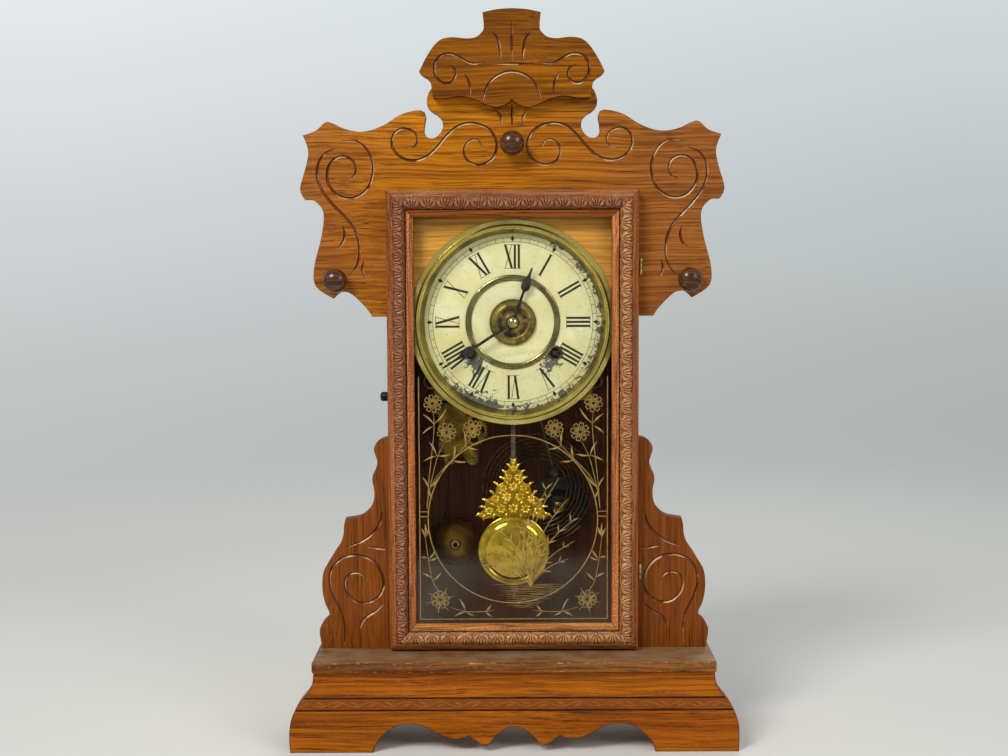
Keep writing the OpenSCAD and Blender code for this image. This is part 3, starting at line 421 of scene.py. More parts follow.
# %% Metal graph
def metal(name, clean, tarnish, spread, smooth, dull, metallic=1.0, grit=0.08):
    """Clean and tarnish are screen colours, and spread says how many clouds there are in a metre."""
    material, tree, shader, spot = finish_graph(name, Metallic=metallic)
    cloud = ramp(tree, clouds(tree, spot, spread, 4.0, warp=0.4), 0.4, 0.65)
    paint(tree, shader, mix(tree, cloud, tint(*clean), tint(*tarnish)))
    roughen(tree, shader, cloud, smooth, dull)
    bump(tree, shader, clouds(tree, spot, spread * 14, 2.0), grit, 0.0002)
    return material


print("metal graph ready")

# %% Metals
bezel_brass = metal("bezel_brass", (246, 226, 132), (202, 180, 90), 45.0, 0.22, 0.4)
# A darker, duller copy of the bezel brass for the slope: painted dark reflection
slope_brass_shaded = metal("slope_brass_shaded", (164, 153, 98), (114, 104, 60), 45.0, 0.22, 0.4)
ring_brass = metal("ring_brass", (166, 156, 104), (112, 102, 62), 60.0, 0.18, 0.34)
nut_brass = metal("nut_brass", (214, 204, 150), (160, 146, 92), 160.0, 0.14, 0.28)
hinge_brass = metal("hinge_brass", (206, 190, 130), (150, 132, 80), 120.0, 0.24, 0.44)
# A brighter brass for the raised leaves of the pendulum ornament: painted highlight
leaf_brass_lit = metal("leaf_brass_lit", (255, 226, 92), (214, 176, 46), 90.0, 0.14, 0.3)
# A darker brass for the ornament's flat sheet: painted shade
sheet_brass_shaded = metal("sheet_brass_shaded", (196, 156, 26), (140, 108, 14), 120.0, 0.28, 0.46)
bob_brass = metal("bob_brass", (226, 192, 61), (169, 137, 31), 70.0, 0.1, 0.22)
alarm_brass = metal("alarm_brass", (138, 110, 36), (78, 58, 18), 90.0, 0.24, 0.48)
works_brass = metal("works_brass", (156, 130, 52), (100, 80, 28), 55.0, 0.28, 0.5)
bell_brass = metal("bell_brass", (186, 140, 42), (104, 72, 22), 40.0, 0.24, 0.46)
disc_brass = metal("disc_brass", (160, 140, 68), (108, 92, 40), 160.0, 0.34, 0.55)
clock_steel = metal("clock_steel", (176, 176, 172), (124, 120, 112), 70.0, 0.26, 0.46)
rod_steel = metal("rod_steel", (140, 124, 98), (96, 82, 60), 90.0, 0.3, 0.5)
wire_steel = metal("wire_steel", (104, 92, 74), (60, 52, 42), 90.0, 0.3, 0.5)
gong_steel = metal("gong_steel", (112, 88, 58), (64, 47, 29), 90.0, 0.24, 0.42)
eyelet_steel = metal("eyelet_steel", (124, 120, 108), (72, 68, 60), 120.0, 0.24, 0.45)
black_iron = metal("black_iron", (15, 15, 17), (30, 28, 26), 120.0, 0.38, 0.6, metallic=0.5, grit=0.3)
gong_black = metal("gong_black", (7, 7, 8), (14, 12, 10), 120.0, 0.3, 0.5, metallic=0.2, grit=0.3)
hand_black = metal("hand_black", (46, 45, 47), (78, 72, 65), 140.0, 0.26, 0.46, metallic=0.75)
gilt = metal("gilt_line", (206, 168, 92), (168, 130, 62), 220.0, 0.35, 0.5, metallic=0.55)
print("metals made")

# %% [markdown]
# ## Dial paper, ink and glass
# The paper is cream and a little greenish, browner towards the rim, and has flaked off the zinc in blotches
# along its rim, under the winding holes and near the seven. The flaking could be cut into the mesh, but it
# has no thickness to speak of. So it is noise, and a limit that changes from zone to zone says where it
# shows. The glass is clear enough to be mostly seen through, with a pale film low down that is a painted
# reflection of the floor.

# %% Dial paper
DIAL_Z = 323.8
DIAL_CENTRE = (0.0, DIAL_Z)
HOLE_PLACE, SEVEN_PLACE = (0.0285, 0.0, -0.0315), (-0.022, 0.0, -0.058)
RIM_SHARE, WORST_SHARE, HOLE_SHARE, SEVEN_SHARE = 0.035, 0.16, 0.29, 0.19


def flaked(tree, spot, flat, across, up, rim):
    """Where the paper is gone: noise, raised in each zone by its own share, has to pass a limit."""
    folded = add(tree, "CombineXYZ", {"X": reckon(tree, "ABSOLUTE", across), "Z": up}).outputs[0]
    to_hole = vector_step(tree, "DISTANCE", folded, HOLE_PLACE)["Value"]
    to_seven = vector_step(tree, "DISTANCE", flat, SEVEN_PLACE)["Value"]
    worst = reckon(tree, "MAXIMUM", ramp(tree, across, 0.005, 0.045), ramp(tree, up, -0.005, -0.05))
    blot = clouds(tree, spot, 170.0, 4.0, warp=0.6)
    crumbs = clouds(tree, spot, 520.0, 3.0, warp=0.3)
    damage = reckon(tree, "MULTIPLY_ADD", crumbs, 0.45, times(tree, blot, 0.55))
    zones = ((times(tree, rim, worst), WORST_SHARE), (rim, RIM_SHARE),
             (ramp(tree, to_hole, 0.0135, 0.003), HOLE_SHARE),
             (ramp(tree, to_seven, 0.017, 0.004), SEVEN_SHARE))
    for zone, share in zones:
        damage = reckon(tree, "MULTIPLY_ADD", zone, share, damage)
    return ramp(tree, damage, 0.69, 0.698)


def paper_finish():
    material, tree, shader, spot = finish_graph("dial_paper", Specular_IOR_Level=0.3)
    centred = {"Vector": spot, "Location": (0, 0, -DIAL_Z / PER_METRE)}
    across, _, up = parts_of(tree, add(tree, "Mapping", centred).outputs["Vector"])
    flat = add(tree, "CombineXYZ", {"X": across, "Z": up}).outputs[0]
    rim = ramp(tree, vector_step(tree, "LENGTH", flat)["Value"], 0.0615, 0.0665)
    gone = flaked(tree, spot, flat, across, up, rim)
    stain = clouds(tree, spot, 38.0, 4.0)
    mottle = ramp(tree, clouds(tree, spot, 130.0, 3.0), 0.48, 0.7)
    speck = ramp(tree, clouds(tree, spot, 520.0, 3.0), 0.56, 0.74)
    cream = mix(tree, ramp(tree, stain, 0.35, 0.7), tint(236, 234, 181), tint(220, 213, 141))
    cream = over(tree, cream, tint(218, 212, 146), mottle, 0.4)
    cream = over(tree, cream, tint(196, 182, 122), speck, 0.35)
    cream = over(tree, cream, tint(206, 196, 136), rim, 0.3)
    zinc = mix(tree, clouds(tree, spot, 160.0, 3.0), tint(84, 88, 74), tint(118, 121, 103))
    paint(tree, shader, mix(tree, gone, cream, zinc))
    roughen(tree, shader, gone, 0.6, 0.4)
    bump(tree, shader, reckon(tree, "MULTIPLY_ADD", gone, -1.0, times(tree, stain, 0.2)), 0.4, 0.0002)
    return material


dial_paper = paper_finish()
print("paper made")

# %% Ink and glass
def ink_finish():
    material, tree, shader, spot = finish_graph("dial_ink", Specular_IOR_Level=0.3)
    paint(tree, shader, mix(tree, clouds(tree, spot, 180.0, 3.0), tint(22, 22, 20), tint(62, 60, 50)))
    roughen(tree, shader, clouds(tree, spot, 90.0, 2.0), 0.5, 0.8)
    return material


def glass_finish():
    material, tree, shader, spot = finish_graph("door_pane", IOR=1.5, Specular_IOR_Level=0.8)
    haze = clouds(tree, spot, 12.0, 3.0)
    # Painted reflection: a pale film low on the glass stands for the floor seen in it
    low_down = ramp(tree, parts_of(tree, spot)["Z"], 0.152, 0.136)
    painted_floor_reflection = times(tree, low_down, ramp(tree, haze, 0.1, 0.7))
    paint(tree, shader, mix(tree, painted_floor_reflection, tint(40, 32, 20), tint(136, 126, 106)))
    tree.links.new(reckon(tree, "MULTIPLY_ADD", painted_floor_reflection, 0.11, 0.04), shader.inputs["Alpha"])
    roughen(tree, shader, haze, 0.02, 0.1)
    material.surface_render_method = "BLENDED"
    return material


dial_ink = ink_finish()
door_pane = glass_finish()
print("ink and glass made")

# %% [markdown]
# ## Tools for new pieces
# A piece starts in a bmesh in millimetres. `hand_over` scales it to metres, shades it smooth except at real
# edges, gives it its finishes, hangs it on the empty of the body that carries it, and hides the solids it
# stands for. The other tools are a maker's own: a lathe, a copy of a solid, a way to round edges, and
# strokes drawn with a brush.

# %% Handing a piece over
COPY_WELD, FLAT = 0.005, math.radians(0.6)


def resize(shape, factor):
    bmesh.ops.scale(shape, vec=(factor, factor, factor), verts=shape.verts)


def hand_over(name, shape, body, finishes, stands_for=(), crease=32):
    resize(shape, 1 / PER_METRE)
    mesh = bpy.data.meshes.new(name)
    shape.to_mesh(mesh)
    shape.free()
    mesh.shade_smooth()
    mesh.set_sharp_from_angle(angle=math.radians(crease))
    for finish in finishes:
        mesh.materials.append(finish)
    piece = set_out(name, mesh)
    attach(piece, body)
    if stands_for:
        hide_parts(*stands_for)
    print(name, len(mesh.polygons), "faces")


def node_copy(node):
    """A merged copy of a solid, in millimetres, whose flat faces are whole again."""
    shape = bmesh.new()
    shape.from_mesh(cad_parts[node].data)
    resize(shape, PER_METRE)
    bmesh.ops.remove_doubles(shape, verts=shape.verts, dist=COPY_WELD)
    bmesh.ops.dissolve_limit(shape, angle_limit=FLAT, verts=shape.verts, edges=shape.edges)
    return shape


print("pieces can be handed over")

# %% Faces and edges
def outward(shape):
    """Turns the faces of a closed shape outwards."""
    bmesh.ops.recalc_face_normals(shape, faces=shape.faces)


def face_front(shape, faces):
    """Turns the faces of an open sheet to the front."""
    shape.normal_update()
    if sum(f.normal.y for f in faces) > 0:
        bmesh.ops.reverse_faces(shape, faces=list(faces))


def paint_new(shape, start, index):
    """Gives the faces that came after the first `start` faces a finish of their own."""
    shape.faces.ensure_lookup_table()
    for face in shape.faces[start:]:
        face.material_index = index


def round_edges(shape, edges, width, segments=2):
    """Bevels edges to a small round and returns the new faces."""
    made = bmesh.ops.bevel(shape, geom=edges, offset=width, offset_type="OFFSET", segments=segments,
                           profile=0.5, affect="EDGES", clamp_overlap=True, material=-1)
    return made["faces"]


def front_rim(shape, front):
    """Edges between the flat front at depth front and the upright walls of a board."""
    shape.normal_update()
    rim = []
    for edge in shape.edges:
        if len(edge.link_faces) == 2 and all(abs(v.co.y - front) < 0.01 for v in edge.verts):
            tilt = sorted(abs(f.normal.y) for f in edge.link_faces)
            if tilt[0] < 0.05 and tilt[1] > 0.95:
                rim.append(edge)
    return rim


print("faces and edges can be worked")

# %% Lathe
WELD = 0.0005


def closed(outline):
    """An outline that comes back to its start."""
    return outline + [outline[0]]


def set_back(outline, depth):
    """An outline moved along the lathe's axis."""
    return [(r, depth + y) for r, y in outline]


def lathe(shape, outline, centre, steps):
    """Spins an outline of (radius, depth) points about an axis along Y."""
    cx, cz = centre
    line = [shape.verts.new((cx + r, y, cz)) for r, y in outline]
    edges = [shape.edges.new(pair) for pair in zip(line, line[1:])]
    bmesh.ops.spin(shape, geom=line + edges, cent=(cx, 0, cz), axis=(0, 1, 0), angle=2 * math.pi, steps=steps,
                   use_merge=True, use_duplicate=False)
    bmesh.ops.remove_doubles(shape, verts=shape.verts, dist=WELD)


def spun_piece(name, outline, centres, steps, body, finish, stands_for=(), crease=40):
    """One piece made of the same lathe shape at each of its centres."""
    shape = bmesh.new()
    for centre in centres:
        lathe(shape, outline, centre, steps)
    outward(shape)
    hand_over(name, shape, body, (finish,), stands_for, crease)


print("lathe ready")

# %% Brush strokes
def strokes(shape, lines, sides, smooth, flat=None):
    """Adds tapering round strokes of (x, y, z, radius); flat = (plane, share) presses them thin in Y."""
    curve = bpy.data.curves.new("strokes", "CURVE")
    curve.dimensions = "3D"
    curve.bevel_depth = 1.0
    curve.bevel_resolution = sides
    curve.resolution_u = smooth
    curve.use_fill_caps = True
    for line in lines:
        spline = curve.splines.new("BEZIER")
        spline.bezier_points.add(len(line) - 1)
        for knot, (x, y, z, radius) in zip(spline.bezier_points, line):
            knot.co = (x, y, z)
            knot.radius = radius
            knot.handle_left_type = "AUTO"
            knot.handle_right_type = "AUTO"
    holder = set_out("strokes", curve)
    mesh = bpy.data.meshes.new_from_object(holder.evaluated_get(bpy.context.evaluated_depsgraph_get()))
    before = len(shape.verts)
    shape.from_mesh(mesh)
    shape.verts.ensure_lookup_table()
    bmesh.ops.remove_doubles(shape, verts=shape.verts[before:], dist=WELD)
    if flat:
        plane, share = flat
        shape.verts.ensure_lookup_table()
        for vert in shape.verts[before:]:
            vert.co.y = plane + (vert.co.y - plane) * share
    bpy.data.objects.remove(holder)
    bpy.data.meshes.remove(mesh)


print("brush ready")

# %% [markdown]
# ## Carved boards
# The front is sawn from flat oak boards and then drawn on with a small gouge: spirals on the wings, an
# S-line down to each knob, rays and curls on the crest. A copy of the solid keeps the outline, a tapering
# round tool is swept along each line and cut out with an exact boolean, and the front rim is softened as
# hands and polish have done. Bump alone would be quicker, but it casts no shadow and is lost from the side.

# %% Gouge
GOUGE_WIDTH, GOUGE_DEPTH = 2.2, 1.1
GOUGE_RADIUS = (GOUGE_WIDTH * GOUGE_WIDTH / 4 + GOUGE_DEPTH * GOUGE_DEPTH) / (2 * GOUGE_DEPTH)


def mirrored(line):
    return [(-x, z) for x, z in line]


def gouge_tool(lines, front):
    """Round strokes that dip into a board's front and thin out at their ends."""
    axis = front - (GOUGE_RADIUS - GOUGE_DEPTH)
    rounds = []
    for line in lines:
        last = len(line) - 1
        swell = [0.3 + 0.7 * math.sin(math.pi * (k / last)) ** 0.45 for k in range(last + 1)]
        rounds.append([(x, axis, z, GOUGE_RADIUS * s) for (x, z), s in zip(line, swell)])
    tool = bmesh.new()
    strokes(tool, rounds, 2, 5)
    paint_new(tool, 0, 1)
    return tool


def gouge(shape, lines, front, finishes):
    """Cuts the lines out of a board and gives their faces the second finish."""
    pair = []
    for label, made in (("board", shape), ("gouge", gouge_tool(lines, front))):
        mesh = bpy.data.meshes.new(label)
        made.to_mesh(mesh)
        made.free()
        for finish in finishes:
            mesh.materials.append(finish)
        pair.append(set_out(label, mesh))
    board, tool = pair
    cut = board.modifiers.new("gouge", "BOOLEAN")
    cut.operation = "DIFFERENCE"
    cut.solver = "EXACT"
    cut.use_self = True
    cut.object = tool
    result = bpy.data.meshes.new_from_object(board.evaluated_get(bpy.context.evaluated_depsgraph_get()))
    carved = bmesh.new()
    carved.from_mesh(result)
    for item in pair:
        bpy.data.objects.remove(item)
    bpy.data.meshes.remove(result)
    return carved


print("gouge radius", GOUGE_RADIUS, "mm")

# %% Board tools
BOARD_FRONT = -18.5
CREST_FRONT = -28.5
RIM_EASE = 0.6


def soften(shape, front, width, finish=0):
    """Rounds a board's front rim, gives the new faces a finish, and says how many edges it found."""
    rim = front_rim(shape, front)
    for face in round_edges(shape, rim, width):
        face.material_index = finish
    return len(rim)


def carved_board(name, node, lines, front, oak):
    shape = gouge(node_copy(node), lines, front, (oak, gouge_oak))
    # The rounded front rim gets the darker rim finish: painted shade
    edges = soften(shape, front, RIM_EASE, 2)
    shape.normal_update()
    # Upright walls get the darker rim finish too: painted shade
    for face in shape.faces:
        if face.material_index == 0 and abs(face.normal.y) < 0.3:
            face.material_index = 2
    print(name, "gouge lines", len(lines), "rim edges", edges)
    hand_over(name, shape, "case", (oak, gouge_oak, rim_oak_shaded), (node,), 28)


print("board tools ready")

# %% Crest board
crest_ray = [(14.6, 541.7), (10.6, 536.6), (8.8, 528.1), (8.2, 520.5)]
crest_curl = [(20.5, 519.6), (29.5, 518.2), (38.1, 522.2), (46.7, 525.6), (55.0, 522.4), (58.0, 513.9),
              (54.7, 506.1), (47.5, 503.8), (42.3, 508.9), (43.4, 515.0), (48.2, 517.2)]
crest_dash = [(35.4, 511.0), (32.0, 504.0), (31.0, 495.4)]
middle_ray = [(0.0, 549.3), (0.0, 535.0), (0.0, 520.5)]
middle_bar = [(-17.0, 518.2), (0.0, 518.0), (17.0, 518.2)]
crest_arch = [(-21.7, 490.6), (-18.7, 501.1), (-11.5, 508.8), (0.0, 512.2), (11.5, 508.8), (18.7, 501.1),
              (21.7, 490.6)]
crest_lines = [middle_ray, middle_bar, crest_arch]
for stroke in (crest_ray, crest_curl, crest_dash):
    crest_lines += [stroke, mirrored(stroke)]
carved_board("crest_carved", "crest_overlay", crest_lines, CREST_FRONT, crest_oak)

# %% Head board
wing_spiral = [(129.6, 461.6), (117.2, 461.3), (107.1, 449.5), (106.1, 435.7), (113.2, 422.7), (127.1, 418.8),
               (137.3, 425.6), (140.5, 437.2), (135.6, 447.3), (126.8, 450.0), (119.3, 444.0), (120.8, 435.0),
               (125.5, 433.0)]
wing_s_line = [(133.5, 456.5), (142.5, 452.0), (148.0, 440.5), (145.5, 427.0), (137.4, 415.0), (128.6, 405.7),
               (120.3, 395.0), (116.7, 380.5), (118.8, 368.0), (124.7, 359.6)]
wing_dash = [(129.1, 397.3), (127.8, 390.7), (129.9, 384.1), (133.8, 380.2)]
wing_tick = [(113.6, 371.0), (114.6, 365.2), (112.4, 357.5)]
neck_scroll = [(79.0, 456.5), (73.6, 458.0), (72.2, 465.1), (77.1, 470.0), (86.2, 469.8), (91.2, 461.8),
               (88.3, 453.1), (78.7, 447.3), (67.0, 448.8), (58.3, 455.3), (49.0, 466.0), (38.0, 473.8),
               (24.8, 473.8), (14.6, 467.0), (11.8, 455.3), (18.2, 445.6), (29.9, 444.4), (36.4, 451.6),
               (34.2, 459.8), (26.2, 462.2), (22.5, 456.5)]
neck_ray = [(12.4, 485.0), (8.6, 479.8), (8.0, 473.0)]
head_lines = [[(0.0, 489.0), (0.0, 480.0), (0.0, 472.5)]]
for stroke in (wing_spiral, wing_s_line, wing_dash, wing_tick, neck_scroll, neck_ray):
    head_lines += [stroke, mirrored(stroke)]
carved_board("head_carved", "head_board", head_lines, BOARD_FRONT, head_oak)

# %% Side ornaments
foot_scroll = [(113.5, 122.0), (116.3, 127.5), (122.9, 130.0), (129.5, 126.6), (131.0, 119.5), (126.6, 110.5),
               (117.3, 106.2), (107.2, 109.3), (101.3, 118.5), (102.2, 129.2), (107.9, 138.2), (117.5, 143.1),
               (128.0, 143.1), (137.0, 138.2), (141.9, 130.6), (142.2, 119.4), (138.5, 108.7), (133.5, 98.0),
               (131.2, 86.0), (132.2, 73.5)]
foot_leaf = [(101.6, 178.0), (103.0, 169.8), (108.6, 161.3), (117.4, 154.7), (128.4, 150.0)]
foot_low = [(101.5, 105.0), (107.3, 99.6), (114.0, 95.6), (118.0, 90.8), (119.6, 86.0)]
foot_dash = [(113.0, 150.4), (106.0, 149.3), (99.5, 148.1)]
right_lines = [foot_scroll, foot_leaf, foot_low, foot_dash]
left_lines = [mirrored(line) for line in right_lines]
carved_board("side_carved_right", "side_ornament_right", right_lines, BOARD_FRONT, side_oak)
carved_board("side_carved_left", "side_ornament_left", left_lines, BOARD_FRONT, side_oak)

# %% [markdown]
# ## Base
# The base front is a thick board with a scalloped foot. Two grooves run along it, and the raised band
# between them carries a faint pressed running leaf. The grooves are in the solid; the band is a fine grid
# whose points are moved forward by a short formula, which is quicker and finer than cutting each leaf.

# %% Base board
BASE_FRONT = -58.0
GROOVES, GROOVE_HALF = (32.7, 42.0), 0.9
BASE_EASE = 0.7


def in_groove(point):
    return any(abs(point.z - level) < GROOVE_HALF for level in GROOVES)


shape = node_copy("base_front")
rim = [e for e in front_rim(shape, BASE_FRONT) if not all(in_groove(v.co) for v in e.verts)]
# The rounded front rim gets the darker rim finish: painted shade
for face in round_edges(shape, rim, BASE_EASE):
    face.material_index = 2
# Groove faces get the dark groove finish: dirt and painted shade
for face in shape.faces:
    middle = face.calc_center_median()
    if in_groove(middle) and BASE_FRONT + 0.1 < middle.y < BASE_FRONT + 2:
        face.material_index = 1
print("groove faces", sum(f.material_index == 1 for f in shape.faces))
hand_over("base_board", shape, "case", (base_oak, groove_dirt_and_shade, rim_oak_shaded), ("base_front",), 28)

# %% Pressed band of the base
BASE_BAND_Z, BASE_BAND_HALF = 37.35, 3.75
BASE_BAND_REACH, BASE_BAND_SLANT = 163.4, 0.62
LEAF_STEP, LEAF_START = 13, 400
BASE_COLUMNS, BASE_ROWS = 760, 14


def base_leaf(s, t):
    """Height from 0 to 1 of the pressed leaf at s millimetres along and t from -1 to 1 across."""
    swing = 0.5 * math.sin(math.pi * s / LEAF_STEP)
    vine = math.exp(-((t - swing) / 0.17) ** 2)
    step = (s % LEAF_STEP) - LEAF_STEP / 2
    side = 1 if int(s // LEAF_STEP) % 2 == 0 else -1
    leaf_t = -0.2 * side + side * 0.09 * step
    one_leaf = math.exp(-((t - leaf_t) / 0.22) ** 2) * math.exp(-(step / 3.2) ** 2)
    return max(vine * 0.7, one_leaf)


shape = bmesh.new()
height = shape.verts.layers.float.new("relief")
bmesh.ops.create_grid(shape, x_segments=BASE_COLUMNS, y_segments=BASE_ROWS, size=1.0)
for vert in shape.verts:
    t = vert.co.y
    rise = BASE_BAND_HALF * t
    x = vert.co.x * (BASE_BAND_REACH - BASE_BAND_SLANT * rise)
    raised = base_leaf(x + LEAF_START, t)
    vert[height] = raised
    forward = (1 - t ** 8) * (0.4 + 0.3 * raised)
    vert.co = Vector((x, BASE_FRONT + 0.25 - forward, BASE_BAND_Z + rise))
face_front(shape, shape.faces)
hand_over("base_band", shape, "case", (base_pressed,), (), 60)

# %% Cap board
CAP_EASE, SHORT_EDGE = 1.0, 6
shape = node_copy("base_cap")
for face in round_edges(shape, [e for e in shape.edges if e.calc_length() > SHORT_EDGE], CAP_EASE, 3):
    face.material_index = 1
hand_over("cap_board", shape, "case", (cap_oak, cap_edge), ("base_cap",))

# %% [markdown]
# ## Turned knobs
# Each knob is a small dark ball on a neck and a thin collar, turned on a lathe. Spinning half the outline
# about the knob's axis is the same work in mesh form, and it keeps the ball rounder than a smoothed block
# would be.

# %% Knobs
KNOB_R, KNOB_DEEP, KNOB_OUT = 9.3, 7.1, 9.2
KNOB_PLACES = ((0.0, 459.3), (-134.6, 356.3), (134.6, 356.3))
collar = [(0.0, 0.0), (6.7, 0.0), (7.2, -0.5), (7.1, -1.2), (6.3, -1.7), (6.0, -2.4)]
turns = [math.radians(a) for a in range(-48, 90, 6)]
ball = [(KNOB_R * math.cos(a), -KNOB_OUT - KNOB_DEEP * math.sin(a)) for a in turns]
knob_line = set_back(collar + ball + [(0.0, -KNOB_OUT - KNOB_DEEP)], BOARD_FRONT)
spun_piece("knob_turnings", knob_line, KNOB_PLACES, 48, "case", knob_brown,
           ("turned_knobs",), 50)

# %% [markdown]
# ## Door
# The door is four mitred mouldings: a plain outer bevel, a crowned band pressed with a row of leaf fans, a
# groove, and a plain slope down to the glass. Each moulding is its section pushed along its length, with
# the ends slid to 45 degrees. The band is a grid laid over it, raised by a formula of lobes round the root
# of each fan, because cutting nearly ninety fans one by one would take far longer.

# %% Leaf fans
BAND_MIDDLE, BAND_HALF = 9.7, 4.7
FAN_STEP, LOBE, SMALL_LOBE, RELIEF = 12.6, 0.6, 0.55, 1.7


def ease(low, high, value):
    """Rises smoothly from 0 at low to 1 at high."""
    f = min(max((value - low) / (high - low), 0.0), 1.0)
    return f * f * (3 - 2 * f)


def leaf_fan(s, t):
    """Height from 0 to 1 of the leaf fans at s along the band and t across it, -1 outside to 1 inside."""
    a = ((s / FAN_STEP) % 1.0 - 0.5) * FAN_STEP
    b = (0.75 - t) * BAND_HALF
    out = math.hypot(a, b + 0.5)
    angle = math.atan2(a, b + 0.5)
    bent = angle + 0.05 * out * math.sin(2 * angle)
    lobe = bent / LOBE - round(bent / LOBE)
    tip = 8.4 - 2.2 * abs(lobe) - 0.4 * abs(angle)
    ridge = math.cos(math.pi * lobe) ** 0.8 * (1 - 0.3 * math.exp(-(lobe / 0.1) ** 2))
    fan = ridge * ease(0.7, 2.0, out) * (1 - ease(tip - 1.3, tip, out))
    c = abs(a) - FAN_STEP / 2
    d = (t + 1.05) * BAND_HALF
    small_out = math.hypot(c, d)
    small_lobe = math.atan2(c, d) / SMALL_LOBE
    small_lobe -= round(small_lobe)
    small_tip = 5.4 - 1.6 * abs(small_lobe)
    small = 0.8 * math.cos(math.pi * small_lobe) ** 0.8 * ease(0.5, 1.4, small_out)
    small *= 1 - ease(small_tip - 1.1, small_tip, small_out)
    boss = 0.9 * math.exp(-(a / 1.2) ** 2 - (b / 0.9) ** 2)
    return min(1.0, max(fan, small, boss))


print("leaf fans", FAN_STEP, "mm apart")

# %% Moulding tools
DOOR_W, DOOR_H, DOOR_Z, DOOR_BACK = 191.0, 352.0, 72.2, -20.2
SECTION = [(0.0, 0.0), (0.0, 9.5), (0.12, 9.85), (0.4, 10.2), (4.3, 13.8), (4.7, 13.95), (5.2, 13.7),
           (14.2, 13.7), (14.4, 12.4), (15.2, 12.4), (15.4, 14.0), (15.9, 14.1), (20.2, 10.85),
           (20.45, 10.6), (20.5, 10.3), (20.5, 8.8), (14.5, 8.8), (14.5, 0.0)]
GROOVE_FROM, GROOVE_TO = 14.2, 15.5
MITRE_GAP = 0.22
GRID_STEP, GRID_ROWS = 0.36, 28
CROWN_LOW, CROWN_RISE = 13.4, 2.5


def stile_place(side):
    return lambda u, h, s: Vector((side * (DOOR_W / 2 - u), DOOR_BACK - h, DOOR_Z + s))


def rail_place(top):
    if top:
        return lambda u, h, s: Vector((-DOOR_W / 2 + s, DOOR_BACK - h, DOOR_Z + DOOR_H - u))
    return lambda u, h, s: Vector((-DOOR_W / 2 + s, DOOR_BACK - h, DOOR_Z + u))


def moulding_bar(shape, length, place):
    """The section pushed along its length, with mitred ends; groove and slope get finishes of their own."""
    section = shape.faces.new([shape.verts.new((u, h, 0)) for u, h in SECTION])
    pushed = bmesh.ops.extrude_face_region(shape, geom=[section])["geom"]
    far_end = [g for g in pushed if isinstance(g, bmesh.types.BMVert)]
    bmesh.ops.translate(shape, vec=(0, 0, length), verts=far_end)
    for vert in shape.verts:
        inset = vert.co.x + MITRE_GAP
        vert.co.z = inset if vert.co.z < length / 2 else length - inset
    for face in shape.faces:
        middle = face.calc_center_median()
        if GROOVE_FROM < middle.x < GROOVE_TO and middle.y > 12:
            face.material_index = 2
        if middle.x > GROOVE_TO and middle.y > 9:
            face.material_index = 3
    for vert in shape.verts:
        vert.co = place(*vert.co)
    outward(shape)


def leaf_band(shape, length, place):
    """A fine grid over the crown, raised into leaf fans; the height stays on the mesh for the finish."""
    height = shape.verts.layers.float.new("relief")
    before = len(shape.verts)
    bmesh.ops.create_grid(shape, x_segments=int(length / GRID_STEP), y_segments=GRID_ROWS, size=1.0)
    shape.verts.ensure_lookup_table()
    band = shape.verts[before:]
    for vert in band:
        t, along = vert.co.y, (vert.co.x + 1) / 2
        u = BAND_MIDDLE + BAND_HALF * t
        inset = u + MITRE_GAP
        s = inset + (length - 2 * inset) * along
        raised = leaf_fan(s - length / 2 + 40.5 * FAN_STEP, t)
        crown = CROWN_LOW + CROWN_RISE * (1 - abs(t) ** 3)
        vert[height] = raised
        vert.co = place(u, crown + (1 - t ** 6) * RELIEF * raised, s)
    fresh = {f for v in band for f in v.link_faces}
    for face in fresh:
        face.material_index = 1
    face_front(shape, fresh)


def moulding(name, node, length, place, wood_finish, band_finish, slope_finish):
    shape = bmesh.new()
    moulding_bar(shape, length, place)
    leaf_band(shape, length, place)
    # The groove between band and slope gets a dark finish: dirt and painted shade
    finishes = (wood_finish, band_finish, door_groove, slope_finish)
    hand_over(name, shape, "door", finishes, (node,), 50)


print("moulding section", len(SECTION), "points")

# %% Mouldings
moulding("stile_left", "door_stile_left", DOOR_H, stile_place(-1), door_red, pressed_band, stile_slope_lit)
moulding("stile_right", "door_stile_right", DOOR_H, stile_place(1), door_red, pressed_band_lit, stile_slope_lit)
moulding("rail_top", "door_rail_top", DOOR_W, rail_place(True), rail_red, pressed_band, rail_slope_shaded)
moulding("rail_bottom", "door_rail_bottom", DOOR_W, rail_place(False), sill_lit_dusty, pressed_band_lit, sill_lit_dusty)

# %% [markdown]
# ## Dial
# The bezel is a spun brass pan: a flange on the board, a rounded bead, and a long slope down to the paper.
# An inner ring divides the numerals from the middle. Both are lathe shapes with many steps, so the brass
# reflects smoothly. The bezel's outline is listed from the flange inward.

# %% Bezel and ring
DIAL_Y = -14.0
SLOPE_R = 71.4
bezel_line = [(78.7, -18.5), (78.7, -19.1), (78.4, -19.4), (75.2, -19.5), (74.8, -19.9), (74.6, -22.9),
              (74.2, -24.2), (73.5, -24.8), (72.6, -24.8), (71.9, -24.2), (71.2, -22.8), (70.6, -21.3),
              (69.6, -18.7), (68.6, -16.2), (68.0, -14.6), (67.9, -14.02), (69.4, -14.02), (72.9, -22.5),
              (73.5, -23.5), (73.9, -18.5)]
shape = bmesh.new()
lathe(shape, closed(bezel_line), DIAL_CENTRE, 160)
outward(shape)
